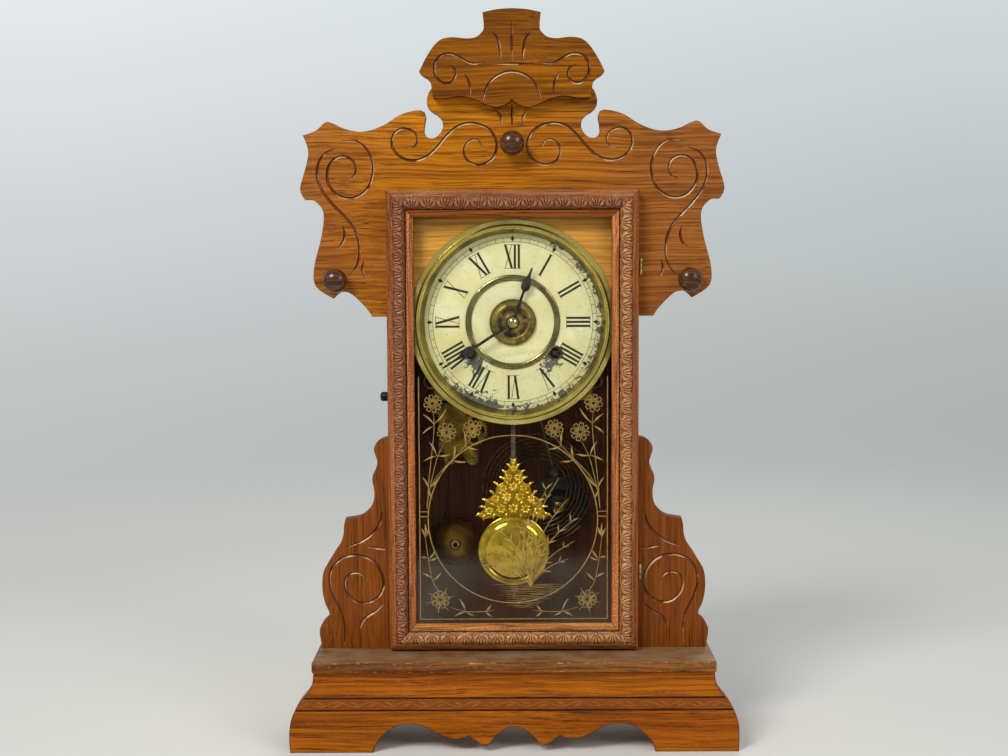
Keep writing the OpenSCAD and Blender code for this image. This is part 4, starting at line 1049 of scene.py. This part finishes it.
# The slope gets the darker brass: painted dark reflection
for face in shape.faces:
    middle = face.calc_center_median()
    if math.hypot(middle.x, middle.z - DIAL_Z) < SLOPE_R:
        face.material_index = 1
hand_over("bezel_spun", shape, "case", (bezel_brass, slope_brass_shaded), ("dial_bezel",), 40)
ring_line = closed([(31.8, -14.0), (31.8, -14.7), (32.4, -15.3), (33.2, -15.5), (34.9, -15.5), (35.8, -15.3),
                    (36.4, -14.7), (36.4, -14.0)])
spun_piece("inner_ring_spun", ring_line, (DIAL_CENTRE,), 112, "case", ring_brass,
           ("dial_inner_ring",))

# %% [markdown]
# ## Numerals
# The chapter ring has tall Roman numerals with thick and thin strokes and hairline serifs, standing with
# their feet to the centre, and a minute track of two circles with a diamond at each hour. A font would
# bring its own shapes, so each stroke is a thin flat bar, and each circle a thin spun band. They stand a
# tenth of a millimetre proud of the paper, enough to be seen from the side.

# %% Numeral tools
INK_Y, INK_T = DIAL_Y - 0.05, 0.1
FOOT_R, HEAD_R = 41.2, 59.3
TRACK_IN, TRACK_OUT, TRACK_HALF, DIAMOND_R = 61.5, 64.7, 0.15, 63.9
THICK, THIN, SERIF, TICK = 1.8, 0.45, 0.32, 0.28
DIAMOND = (2.0, INK_T, 3.3, 1)
GLYPH_WIDE = {"I": 3.1, "V": 6.6, "X": 6.6}
# Each bar of a glyph runs from an offset at its head to one at its foot, in shares of half its width
GLYPH_BARS = {"I": ((0, 0, 1.7),), "V": ((-1, 0, THICK), (1, 0, THIN)), "X": ((-1, 1, THICK), (1, -1, THIN))}
HOURS = ("I", "II", "III", "IIII", "V", "VI", "VII", "VIII", "IX", "X", "XI", "XII")


def bar(shape, start, end, width, y=INK_Y, thick=INK_T):
    """A thin flat bar in the dial's plane."""
    along = Vector(end) - Vector(start)
    middle = (Vector(start) + Vector(end)) / 2
    turn = Matrix.Rotation(math.atan2(along.x, along.y), 4, "Y")
    size = Matrix.Diagonal((width, thick, along.length, 1))
    bmesh.ops.create_cube(shape, size=1.0, matrix=Matrix.Translation((middle.x, y, middle.y)) @ turn @ size)


def on_dial(angle, radius, aside=0.0):
    """A point of the dial, with the angle clockwise from twelve in degrees."""
    a = math.radians(angle)
    return (radius * math.sin(a) + aside * math.cos(a), DIAL_Z + radius * math.cos(a) - aside * math.sin(a))


def numeral(shape, text, angle):
    total = sum(GLYPH_WIDE[g] for g in text)
    left = -total / 2
    for glyph in text:
        wide = GLYPH_WIDE[glyph]
        middle, reach = left + wide / 2, wide / 2 - 0.75
        for head, foot, thick in GLYPH_BARS[glyph]:
            top = on_dial(angle, HEAD_R, middle + head * reach)
            bar(shape, top, on_dial(angle, FOOT_R, middle + foot * reach), thick)
        left += wide
    side = total / 2 + 0.2
    for radius in (FOOT_R, HEAD_R):
        bar(shape, on_dial(angle, radius, -side), on_dial(angle, radius, side), SERIF)


print("numerals", len(HOURS))

# %% Chapter ring
shape = bmesh.new()
for index, text in enumerate(HOURS):
    numeral(shape, text, 30 * (index + 1))
for minute in range(60):
    bar(shape, on_dial(6 * minute, TRACK_IN), on_dial(6 * minute, TRACK_OUT), TICK)
for hour in range(12):
    x, z = on_dial(30 * hour, DIAMOND_R)
    turn = Matrix.Rotation(math.radians(30 * hour), 4, "Y")
    size = Matrix.Diagonal(DIAMOND) @ Matrix.Rotation(math.pi / 4, 4, "Y")
    bmesh.ops.create_cube(shape, size=1.0, matrix=Matrix.Translation((x, INK_Y, z)) @ turn @ size)
low, high = INK_Y + INK_T / 2, INK_Y - INK_T / 2
for radius in (TRACK_IN, TRACK_OUT):
    inner, outer = radius - TRACK_HALF, radius + TRACK_HALF
    lathe(shape, closed([(inner, low), (inner, high), (outer, high), (outer, low)]), DIAL_CENTRE, 144)
outward(shape)
hand_over("chapter_ring", shape, "case", (dial_ink,))

# %% [markdown]
# ## Winding holes, nut, alarm disc
# Each winding hole has a dark steel eyelet. The dome nut over the hands is polished. The alarm disc in the
# middle is a thin brass wheel with five curved windows and a ring of raised marks to set the alarm by. Its
# windows are thin dark plates laid in its face, a painted shade for the dark that shows through the real
# ones, since nothing can be seen through them.

# %% Eyelets and nut
WINDING_HOLES = ((-32.6, 299.9), (32.6, 299.9))
eyelet = closed([(4.1, -13.6), (4.1, -14.6), (4.5, -15.0), (5.4, -14.9), (5.9, -14.5), (5.9, -14.0)])
spun_piece("winding_eyelets", eyelet, WINDING_HOLES, 40, "case", eyelet_steel)
nut_line = [(0.0, -21.4), (4.1, -21.4), (4.1, -22.1), (3.8, -22.8), (3.2, -23.5), (2.2, -24.1), (1.1, -24.4),
            (0.0, -24.5)]
spun_piece("dome_nut", nut_line, (DIAL_CENTRE,), 48, "minute", nut_brass, ("hand_nut",))

# %% Alarm disc
DISC_Y = -15.6
WINDOW_FRONT, WINDOW_BACK = DISC_Y - 0.04, DISC_Y + 0.2
WINDOW = ((8.4, WINDOW_FRONT), (11.7, WINDOW_FRONT), (11.7, WINDOW_BACK), (8.4, WINDOW_BACK))
WINDOWS, WINDOW_START, WINDOW_TURN = 5, 20, math.radians(56)
MARKS, MARK_IN, MARK_OUT, MARK_WIDE, MARK_THIN = 48, 14.2, 16.2, 0.85, 0.4
shape = bmesh.new()
disc_line = [(3.7, -14.4), (3.7, -16.4), (5.2, -16.4), (5.6, -15.9), (6.4, -15.6), (12.4, -15.6),
             (12.8, -15.9), (13.4, -15.9), (13.8, -15.6), (16.6, -15.6), (16.9, -15.9), (17.5, -15.9),
             (17.8, -15.6), (17.8, -14.8), (5.2, -14.8), (5.2, -14.4)]
lathe(shape, closed(disc_line), DIAL_CENTRE, 96)
disc_faces = len(shape.faces)
for window in range(WINDOWS):
    a = math.radians(360 / WINDOWS * window + WINDOW_START)
    corners = [shape.verts.new((r * math.sin(a), y, DIAL_Z + r * math.cos(a))) for r, y in WINDOW]
    section = shape.faces.new(corners)
    bmesh.ops.spin(shape, geom=[section, *section.edges, *corners], cent=(0, 0, DIAL_Z), axis=(0, 1, 0),
                   angle=WINDOW_TURN, steps=12, use_duplicate=False)
# The windows get the dark groove finish: painted shade where the real cut-outs show only dark
paint_new(shape, disc_faces, 1)
window_faces = len(shape.faces)
for mark in range(MARKS):
    angle = 360 / MARKS * mark
    wide = MARK_WIDE if mark % 4 == 0 else MARK_THIN
    bar(shape, on_dial(angle, MARK_IN), on_dial(angle, MARK_OUT), wide, DISC_Y - 0.05, 0.14)
paint_new(shape, window_faces, 2)
outward(shape)
disc_finishes = (disc_brass, groove_dirt_and_shade, nut_brass)
hand_over("alarm_disc_cut", shape, "alarm_set", disc_finishes, ("alarm_disc",), 40)

# %% [markdown]
# ## Gilt lines
# The lower glass carries a gilt border, a ring and sprays of small flowers, printed on the back of the
# pane. They are drawn as thin strokes that swell and taper, pressed nearly flat against the glass, so that
# they can be seen from both sides and cast their thin shadows. The spray in the ring is a plain bundle of
# grass and fern over a few water lines, made from one root, a list of tips and a rule for leaflets.

# %% Gilt tools
GILT_Y = -26.95
GILT_WIDE, PETAL_LINE, LEAF_BEND = 0.36, 0.3, 0.05


def gilt_line(points, wide=GILT_WIDE, ends=1.0):
    last = len(points) - 1
    swell = [ends + (1 - ends) * math.sin(math.pi * k / last) for k in range(last + 1)]
    return [(x, GILT_Y, z, wide * s) for (x, z), s in zip(points, swell)]


def leaf(start, end, wide=0.85):
    (x0, z0), (x1, z1) = start, end
    middle = ((x0 + x1) / 2 - LEAF_BEND * (z1 - z0), (z0 + z1) / 2 + LEAF_BEND * (x1 - x0))
    return [(x0, GILT_Y, z0, 0.2), (middle[0], GILT_Y, middle[1], wide), (x1, GILT_Y, z1, 0.12)]


def flower(cx, cz, reach, petals):
    """Outlined petals that widen outwards, round a small ring with a short vein in each petal."""
    made = []
    half = 0.62 * math.pi / petals
    rim = ((0.34, -0.2), (0.88, -half), (1.0, -0.6 * half), (0.93, 0.0), (1.0, 0.6 * half), (0.88, half),
           (0.34, 0.2))

    def at(share, angle, wide):
        return (cx + share * reach * math.cos(angle), GILT_Y, cz + share * reach * math.sin(angle), wide)

    for k in range(petals):
        a = 2 * math.pi * k / petals + 0.2
        made.append([at(share, a + turn, PETAL_LINE) for share, turn in rim])
        made.append([at(0.3, a, 0.22), at(0.6, a, 0.3)])
    made.append([at(0.24, 2 * math.pi * k / 8, 0.34) for k in range(9)])
    return made


def other_side(line):
    return [(-x, y, z, w) for x, y, z, w in line]


print("gilt tools ready")

# %% Border and ring
BORDER_X, BORDER_LOW, BORDER_MIDDLE, BORDER_TOP = 72.0, 95.3, 190.0, 283.0
TIE_X, TIES = 65.2, (179.0, 175.2)
RING_X, RING_Z, RING_R = -0.5, 173.0, 65.0
gilt_lines = [gilt_line([(-BORDER_X, BORDER_LOW), (0, BORDER_LOW), (BORDER_X, BORDER_LOW)])]
for side in (-1, 1):
    x = side * BORDER_X
    gilt_lines.append(gilt_line([(x, BORDER_LOW), (x, BORDER_MIDDLE), (x, BORDER_TOP)]))
    for tie in TIES:
        gilt_lines.append(gilt_line([(x, tie), (side * TIE_X, tie)]))
circle = [2 * math.pi * k / 32 for k in range(33)]
ring = [(RING_X + RING_R * math.sin(a), RING_Z + RING_R * math.cos(a)) for a in circle]
gilt_lines.append(gilt_line(ring, 0.42))
print("border strokes", len(gilt_lines))

# %% Corner sprays
ROSE = (-56.6, 110.5)
spray = flower(-61.4, 262.4, 6.8, 8) + flower(-51.0, 240.4, 7.2, 8) + flower(-31.4, 243.0, 6.8, 8)
spray += flower(*ROSE, 7.0, 9)
for ray in (-100, -55, 15, 60, 105, 150, 195):
    a = math.radians(ray)
    points = [(ROSE[0] + r * math.cos(a), ROSE[1] + r * math.sin(a)) for r in (3.0, 6.5, 10.6)]
    spray.append(gilt_line(points, 0.3, 0.7))
stems = [[(-61.0, 255.4), (-60.4, 246.4), (-62.4, 224.0), (-65.0, 200.0), (-66.4, 181.0)],
         [(-52.2, 233.2), (-57.6, 222.2), (-61.8, 207.0), (-64.6, 194.0), (-66.4, 181.0)],
         [(-32.2, 236.4), (-36.0, 231.0), (-47.0, 219.0), (-57.4, 207.9), (-65.7, 195.0)],
         [(-68.0, 161.0), (-66.3, 147.0), (-64.5, 135.0), (-61.5, 122.8), (-58.0, 117.5)],
         [(-49.5, 104.5), (-36.5, 101.2), (-24.0, 101.1), (-15.0, 102.0)]]
spray += [gilt_line(stem, 0.3, 0.5) for stem in stems]
pairs = [((-68.6, 254.2), (-60.4, 246.4)), ((-50.8, 258.6), (-60.2, 246.8)), ((-69.2, 239.4), (-61.2, 245.2)),
         ((-64.2, 233.2), (-58.6, 222.4)), ((-68.6, 218.2), (-58.4, 222.4)), ((-48.4, 223.2), (-58.2, 222.2)),
         ((-69.2, 205.4), (-64.8, 197.0)), ((-56.4, 206.4), (-64.6, 197.2)), ((-62.2, 189.4), (-65.6, 197.0)),
         ((-37.5, 240.5), (-36.6, 230.5)), ((-27.0, 227.0), (-36.8, 229.6)), ((-44.6, 230.0), (-46.0, 220.4)),
         ((-36.0, 217.5), (-46.5, 218.6)), ((-70.8, 166.0), (-68.0, 159.5)), ((-65.2, 166.5), (-67.6, 159.5)),
         ((-67.9, 169.5), (-67.9, 160.5)), ((-71.0, 143.6), (-65.8, 143.0)), ((-60.0, 149.5), (-65.4, 142.0)),
         ((-58.6, 143.5), (-65.0, 141.0)), ((-69.8, 131.0), (-63.4, 127.6)), ((-56.0, 131.5), (-62.6, 125.2)),
         ((-42.0, 111.0), (-37.2, 101.8)), ((-45.5, 97.6), (-37.5, 101.0)), ((-31.0, 98.0), (-37.0, 101.0)),
         ((-17.5, 106.4), (-21.5, 101.4)), ((-17.0, 97.2), (-21.6, 100.8))]
spray += [leaf(tip, root) for tip, root in pairs]
gilt_lines += spray + [other_side(line) for line in spray]
print("with sprays", len(gilt_lines))

# %% Grass bundle
GRASS_ROOT = (13.0, 121.0)
LEAFLET_TURN = 0.62
tips = [(-22.0, 152.0), (-9.0, 163.0), (2.0, 171.0), (14.0, 181.0), (25.0, 196.0), (35.0, 205.0),
        (42.0, 189.0), (44.0, 171.0), (47.0, 156.0), (42.0, 142.0), (-18.0, 138.0)]


def grass_blade(tip):
    """A blade's points from the root to its tip, bowed outwards."""
    reach_x, reach_z = tip[0] - GRASS_ROOT[0], tip[1] - GRASS_ROOT[1]
    lean = -0.1 if reach_x < 0 else 0.1
    spine = []
    for step in range(6):
        f = step / 5
        bow = lean * math.sin(math.pi * f)
        x, z = GRASS_ROOT[0] + reach_x * f, GRASS_ROOT[1] + reach_z * f
        spine.append((x - bow * reach_z, z + bow * reach_x))
    return spine, math.atan2(reach_z, reach_x)


for number, tip in enumerate(tips):
    spine, heading = grass_blade(tip)
    gilt_lines.append(gilt_line(spine, 0.34, 0.6))
    fern = number % 3 == 1
    for step in (2, 3, 4, 5) if fern else (3, 5):
        size = 6.5 if fern else 9.5 - step
        x, z = spine[step] if fern else spine[step - 1]
        for turn in (-LEAFLET_TURN, LEAFLET_TURN):
            end = (x + size * math.cos(heading + turn), z + size * math.sin(heading + turn))
            gilt_lines.append(leaf((x, z), end, 0.62))
for row in range(14):
    half = 29.0 - 1.5 * row - 2.0 * (row % 2)
    level = 122.0 - 1.35 * row
    middle = 13.0 - 0.6 * row + 2.0 * (row % 3)
    wave = [(middle - half + half * k / 3, level + 0.35 * math.sin(1.7 * k + row)) for k in range(7)]
    gilt_lines.append(gilt_line(wave, 0.22, 0.35))
shape = bmesh.new()
strokes(shape, gilt_lines, 1, 4, (GILT_Y, 0.09))
outward(shape)
hand_over("gilt_lines", shape, "door", (gilt,), (), 60)

# %% [markdown]
# ## Pendulum
# The bob is a spun brass disc with a raised rim, and the ornament over it is a thin pressed sheet of
# flowers and leaves. Half an outline is enough for the bob, because the lathe makes the rest. The sheet is
# a copy of its solid with swelling strokes half sunk in its face, which catch the light as pressed leaves
# do, and need no mould of each leaf. The strokes get a brighter brass, a painted highlight, and the sheet a
# darker one, a painted shade.

# %% Bob
BOB_Z = 144.5
PENDULUM_Y = -4.0
bob_line = [(0.0, 3.6), (25.5, 2.4), (27.8, 1.6), (28.5, 0.8), (28.5, -1.4), (28.1, -2.2), (27.2, -2.8),
            (26.0, -3.0), (24.8, -2.8), (23.6, -2.2), (22.9, -1.9), (22.3, -2.1), (21.6, -2.8), (20.6, -3.1),
            (19.4, -2.9), (17.0, -3.4), (14.0, -3.9), (11.0, -4.3), (8.0, -4.55), (4.0, -4.75), (0.0, -4.8)]
bob_centres = ((0.0, BOB_Z),)
bob_line = set_back(bob_line, PENDULUM_Y)
spun_piece("bob_spun", bob_line, bob_centres, 128, "pendulum", bob_brass, ("pendulum_bob",))

# %% Pressed leaves and flowers
PRESS_Y, SHEET_EASE = -8.2, 0.35
LEAF_SWELL = ((0.0, 0.35), (0.35, 0.9), (0.65, 1.0), (1.0, 0.25))
PETALS = 7


def pressed_leaf(start, end, wide, bend=0.15):
    (x0, z0), (x1, z1) = start, end
    points = []
    for f, w in LEAF_SWELL:
        bow = bend * math.sin(math.pi * f)
        x = x0 + (x1 - x0) * f - bow * (z1 - z0)
        z = z0 + (z1 - z0) * f + bow * (x1 - x0)
        points.append((x, PRESS_Y, BOB_Z + z, w * wide))
    return points


def pressed_flower(cx, cz, reach):
    """Petals round a raised button."""
    made = []
    for k in range(PETALS):
        a = 2 * math.pi * k / PETALS + math.pi / 2
        root, tip = [(cx + r * math.cos(a), cz + r * math.sin(a)) for r in (0.2 * reach, reach)]
        made.append(pressed_leaf(root, tip, 0.27 * reach, 0.0))
    made.append([(cx + aside, PRESS_Y - 0.7, BOB_Z + cz, 0.8) for aside in (-0.3, 0.3)])
    return made


print("petals", PETALS)

# %% Pressed ornament
flower_rows = [(0, 33.5, 4.6), (9.6, 33, 4.4), (19, 31.5, 3.8), (5, 42.5, 4.3), (14, 41, 3.8), (0, 50.5, 4.1),
               (8, 49.5, 3.5), (3.4, 58, 3.3), (0, 65, 2.8)]
edge_leaves = [((24, 30), (29.6, 27.4)), ((21, 34), (27, 35)), ((19, 38), (24.6, 41)), ((15, 44), (19, 48)),
               ((11, 50), (16, 54.6)), ((6, 55), (11.2, 58.6)), ((5, 60), (9.2, 64)), ((2.4, 65), (5.6, 69)),
               ((0.6, 68), (2.6, 73.4)), ((14, 30), (15.6, 25.2)), ((5, 30), (5.4, 25.6)),
               ((22, 29), (23.4, 24.2)), ((14.4, 36), (18.8, 37.4)), ((9, 44.6), (12.6, 46.4)),
               ((4, 52.6), (6.4, 55)), ((4.6, 37), (8.6, 38.4))]
pressed = []
for x, z, reach in flower_rows:
    for side in ((1, -1) if x else (1,)):
        pressed += pressed_flower(side * x, z, reach)
for start, end in edge_leaves:
    one = pressed_leaf(start, end, 1.15)
    pressed += [one, other_side(one)]
shape = node_copy("pendulum_ornament")
soften(shape, PRESS_Y, SHEET_EASE)
sheet_faces = len(shape.faces)
strokes(shape, pressed, 2, 4, (PRESS_Y, 0.8))
paint_new(shape, sheet_faces, 1)
sheet_finishes = (sheet_brass_shaded, leaf_brass_lit)
hand_over("ornament_pressed", shape, "pendulum", sheet_finishes, ("pendulum_ornament",), 45)

# %% [markdown]
# ## Gong, bell and works behind the glass
# The hour gong is a flat coil of steel wire held at its inner end by a brass boss on a black iron base. Its
# route is a spiral given by a formula, with a round section swept along it. The alarm bell is spun. The
# other works keep the shape of their solids: a merged copy with a small bevel gives their edges a
# highlight.

# %% Gong coil and bell
GONG_STUD = (37.0, 172.0)
COIL_CENTRE = (20.0, 187.5)
COIL_Y = 36.0
COIL_TURNS, COIL_PITCH, WIRE_R, COIL_STEPS = 7, 3.3, 0.8, 24
BELL_CENTRE, BELL_Y = (-47.0, 142.5), 32.0
from_centre = Vector(GONG_STUD) - Vector(COIL_CENTRE)
coil_start = math.atan2(from_centre.y, from_centre.x)
spiral = []
for step in range(COIL_STEPS * COIL_TURNS + 1):
    angle = coil_start + math.radians(360 / COIL_STEPS * step)
    radius = from_centre.length + COIL_PITCH * step / COIL_STEPS
    x, z = COIL_CENTRE[0] + radius * math.cos(angle), COIL_CENTRE[1] + radius * math.sin(angle)
    spiral.append((x, COIL_Y, z, WIRE_R))
shape = bmesh.new()
strokes(shape, [spiral], 2, 3)
outward(shape)
hand_over("gong_wire", shape, "case", (gong_steel,), ("gong_coil",), 60)
stud_line = [(2.0, 31.4), (3.2, 31.4), (4.6, 31.9), (5.4, 32.8), (5.6, 34.0), (5.6, 40.2), (2.0, 40.2)]
spun_piece("gong_boss", closed(stud_line), (GONG_STUD,), 48, "case", alarm_brass)
bell_line = [(3.0, 0.0), (8.0, 0.0), (11.0, 0.6), (13.5, 1.6), (15.6, 3.2), (17.2, 5.0), (18.5, 7.4),
             (19.4, 10.0), (19.9, 12.0), (20.0, 13.0), (18.6, 13.0), (18.0, 10.4), (16.0, 6.2),
             (12.8, 3.2), (7.8, 1.5), (3.0, 1.5)]
bell_line = set_back(closed(bell_line), BELL_Y)
spun_piece("bell_spun", bell_line, (BELL_CENTRE,), 96, "case", bell_brass, ("alarm_bell",))

# %% Works that keep their solids' shape
SHARP = math.radians(50)


def eased_copy(node, body, finish, width):
    """A merged copy of a solid with its sharp edges eased."""
    shape = node_copy(node)
    shape.normal_update()
    sharp = [e for e in shape.edges if len(e.link_faces) == 2 and e.calc_face_angle(0.0) > SHARP]
    round_edges(shape, sharp, width)
    hand_over(node + "_eased", shape, body, (finish,), (node,), 35)


eased_copy("pendulum_rod", "pendulum", rod_steel, 0.1)
eased_copy("gong_base", "case", gong_black, 0.6)
eased_copy("strike_hammer", "hammer", wire_steel, 0.2)
eased_copy("alarm_frame", "case", alarm_brass, 0.2)
eased_copy("alarm_wheel", "alarm_spin", alarm_brass, 0.12)
eased_copy("alarm_hammer", "alarm_hammer", black_iron, 0.15)
eased_copy("bell_post", "case", bell_brass, 0.3)

# %% Small fittings of the works
STRIP_Z, STRIP_SIZE = 213.0, (3.4, 0.9, 88.0, 1.0)
SCREW_PLACES = ((-62.0, 254.3), (-36.0, 254.3), (-56.0, 222.8))
SLOT_X, SLOT_Z = 1.7, 1.0
STRIP_EASE = 0.3
shape = bmesh.new()
strip = Matrix.Translation((0.0, PENDULUM_Y, STRIP_Z)) @ Matrix.Diagonal(STRIP_SIZE)
bmesh.ops.create_cube(shape, size=1.0, matrix=strip)
round_edges(shape, list(shape.edges), STRIP_EASE)
hand_over("rod_strip", shape, "pendulum", (rod_steel,))
plate_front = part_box("alarm_frame")[0][1] * PER_METRE
screw_head = set_back([(0.0, -1.1), (1.6, -1.0), (2.3, -0.5), (2.4, 0.05), (0.0, 0.05)], plate_front)
shape = bmesh.new()
for x, z in SCREW_PLACES:
    lathe(shape, screw_head, (x, z), 28)
    bar(shape, (x - SLOT_X, z - SLOT_Z), (x + SLOT_X, z + SLOT_Z), 0.5, plate_front - 1.05, 0.2)
outward(shape)
hand_over("alarm_screws", shape, "case", (wire_steel,), (), 40)
shape = bmesh.new()
washer = [(2.2, 30.2), (2.3, 29.4), (2.9, 29.3), (3.3, 29.7), (3.4, 30.4)]
lathe(shape, closed(washer), BELL_CENTRE, 48)
washer_faces = len(shape.faces)
lathe(shape, [(0.0, 29.5), (1.4, 29.5), (2.1, 29.7), (2.1, 30.1), (0.0, 30.1)], BELL_CENTRE, 32)
outward(shape)
paint_new(shape, washer_faces, 1)
hand_over("bell_washer", shape, "case", (nut_brass, black_iron), (), 40)

# %% [markdown]
# ## Case, hinges, latch, hands and glass
# These solids are already the right shape, so they are copied, merged and eased. Boards get a wider easing
# than metal. The hands are blackened steel with a narrow bevel, and the dial plate takes the flaking paper.
# The glass and the movement behind the dial need no easing, so they stay as they are and only get a finish.

# %% Case boards and fittings
BOARD_EASE, FITTING_EASE, HAND_EASE = 0.8, 0.15, 0.18
for side in ("left", "right"):
    eased_copy("base_side_" + side, "case", base_end_oak, BOARD_EASE)
    eased_copy("case_side_" + side, "case", case_oak, BOARD_EASE)
eased_copy("case_top", "case", case_top_oak, BOARD_EASE)
eased_copy("backboard", "case", back_board_shaded, BOARD_EASE)
eased_copy("glass_beads", "door", bead_oak, 0.3)
eased_copy("hinge_case_leaves", "case", hinge_brass, FITTING_EASE)
eased_copy("hinge_door_leaves", "door", hinge_brass, FITTING_EASE)
eased_copy("latch_turn", "latch", black_iron, 0.4)
eased_copy("latch_catch", "door", works_brass, FITTING_EASE)
eased_copy("dial_plate", "case", dial_paper, 0.08)
eased_copy("hour_hand", "hour", hand_black, HAND_EASE)
eased_copy("minute_hand", "minute", hand_black, HAND_EASE)

# %% Solids that stay
BRASS_WORKS = ("front_plate", "back_plate", "time_great_wheel", "strike_great_wheel", "time_second_wheel",
               "center_wheel", "third_wheel", "escape_wheel", "minute_wheel", "hour_wheel",
               "strike_second_wheel", "fly")
STEEL_WORKS = ("plate_pillars", "mainsprings", "suspension_post", "verge")
ARBORS = ("time_winding_arbor", "strike_winding_arbor")
kept = ((door_pane, ("door_glass",)), (works_brass, BRASS_WORKS), (black_iron, ("movement_mounts",)),
        (clock_steel, STEEL_WORKS), (wire_steel, ARBORS))
for finish, nodes in kept:
    for node in nodes:
        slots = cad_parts[node].data.materials
        slots.clear()
        slots.append(finish)
print("solids dressed", sum(len(nodes) for finish, nodes in kept))

# %% [markdown]
# ## Stage and light
# The clock stands on a pale sweep: a floor that bends up into a wall well behind it, so that no corner
# shows. The sweep starts as one edge that is pushed back and up, and its corner is bevelled round. Its far
# ends fade into the sky, so that no edge of it shows from the sides either. Near the clock it is matt paper
# that keeps the clock's shadow; farther away, what is seen of it directly or in metal and glass glows with
# a painted grade of light, darker to the right and paler higher up. The light is soft and comes mostly from
# the upper left, with a weaker lamp at the right, one behind, and a pale sky.

# %% Sweep
SWEEP_HALF, SWEEP_FRONT, WALL_Y, WALL_HIGH, BEND = 9.0, -9.0, 3.2, 4.0, 1.2
shape = bmesh.new()
ends = [shape.verts.new((side * SWEEP_HALF, SWEEP_FRONT, 0.0)) for side in (-1, 1)]
edge = shape.edges.new(ends)
for push in ((0.0, WALL_Y - SWEEP_FRONT, 0.0), (0.0, 0.0, WALL_HIGH)):
    pushed = bmesh.ops.extrude_edge_only(shape, edges=[edge])["geom"]
    bmesh.ops.translate(shape, vec=push, verts=[g for g in pushed if isinstance(g, bmesh.types.BMVert)])
    edge = [g for g in pushed if isinstance(g, bmesh.types.BMEdge) and len(g.link_faces) == 1
            and abs(g.verts[0].co.x - g.verts[1].co.x) > 1][0]
corner = [e for e in shape.edges if all(abs(v.co.y - WALL_Y) < 0.01 and abs(v.co.z) < 0.01 for v in e.verts)]
round_edges(shape, corner, BEND, 16)
outward(shape)
if sum(f.normal.z for f in shape.faces) < 0:
    bmesh.ops.reverse_faces(shape, faces=shape.faces)
sweep_mesh = bpy.data.meshes.new("sweep")
shape.to_mesh(sweep_mesh)
shape.free()
sweep_mesh.shade_smooth()
sweep = set_out("sweep", sweep_mesh)
print("sweep", len(sweep_mesh.polygons), "faces")

# %% Sweep paper
SKY_TONE = tint(206, 210, 212)
GRADE_HALF, GRADE_HIGH = 1.2, 1.15
PLAIN_FROM, PLAIN_TO = 0.25, 1.7
FADE_FROM, FADE_TO = 4.2, 8.0


def seen_by(tree, *kinds):
    """1 for the kinds of ray that are named, and 0 for the rest."""
    rays = add(tree, "LightPath").outputs
    seen = rays[kinds[0]]
    for kind in kinds[1:]:
        seen = reckon(tree, "MAXIMUM", seen, rays[kind])
    return seen


def sweep_finish():
    """Matt paper near the clock; farther away, what is seen directly or in metal and glass glows with a
    painted grade of light.
    """
    material, tree, shader, spot = finish_graph("sweep_paper", Roughness=0.9, Specular_IOR_Level=0.2)
    paint(tree, shader, mix(tree, clouds(tree, spot, 2.0, 2.0), tint(214, 213, 208), tint(220, 219, 214)))
    place = parts_of(tree, spot)
    across = ramp(tree, place["X"], -GRADE_HALF, GRADE_HALF)
    # Painted light: the glowing grade is darker to the right and paler higher up
    low_tone = mix(tree, across, tint(192, 194, 194), tint(172, 177, 175))
    high_tone = mix(tree, across, tint(232, 236, 238), tint(212, 219, 222))
    pale = mix(tree, ramp(tree, place["Z"], 0.0, GRADE_HIGH), low_tone, high_tone)
    away = vector_step(tree, "LENGTH", spot)["Value"]
    pale = mix(tree, ramp(tree, away, FADE_FROM, FADE_TO), pale, SKY_TONE)
    glow = add(tree, "Emission", {"Color": pale}).outputs[0]
    seen = seen_by(tree, "Is Camera Ray", "Is Glossy Ray", "Is Transmission Ray")
    share = times(tree, ramp(tree, away, PLAIN_FROM, PLAIN_TO), seen)
    blend = add(tree, "MixShader", {0: share, 1: shader.outputs[0], 2: glow}).outputs[0]
    out = [n for n in tree.nodes if n.bl_idname == "ShaderNodeOutputMaterial"][0]
    tree.links.new(blend, out.inputs["Surface"])
    return material


sweep_mesh.materials.append(sweep_finish())
print("sweep papered")

# %% Lamps and sky
LAMP_TARGET = Vector((0, 0, 0.3))
SKY_LIGHT = (0.36, 0.37, 0.39, 1.0)


def soft_lamp(name, place, size, power, colour):
    data = bpy.data.lights.new(name, "AREA")
    data.shape = "DISK"
    data.size = size
    data.energy = power
    data.color = colour
    lamp = set_out(name, data)
    lamp.location = place
    lamp.rotation_euler = (LAMP_TARGET - Vector(place)).to_track_quat("-Z", "Y").to_euler()


soft_lamp("key_lamp", (-1.25, -1.85, 2.05), 1.1, 57.0, (1.0, 0.985, 0.95))
soft_lamp("fill_lamp", (1.6, -1.7, 1.4), 1.2, 16.0, (0.97, 0.99, 1.0))
soft_lamp("back_lamp", (0.6, 1.8, 2.0), 1.2, 16.0, (1.0, 1.0, 1.0))
world = bpy.data.worlds.new("pale_sky")
bpy.context.scene.world = world
world.use_nodes = True
sky = world.node_tree.nodes["Background"]
sky.inputs["Strength"].default_value = 1.0
seen = seen_by(world.node_tree, "Is Camera Ray", "Is Transmission Ray")
world.node_tree.links.new(mix(world.node_tree, seen, SKY_LIGHT, SKY_TONE), sky.inputs["Color"])
print("three lamps and a sky")
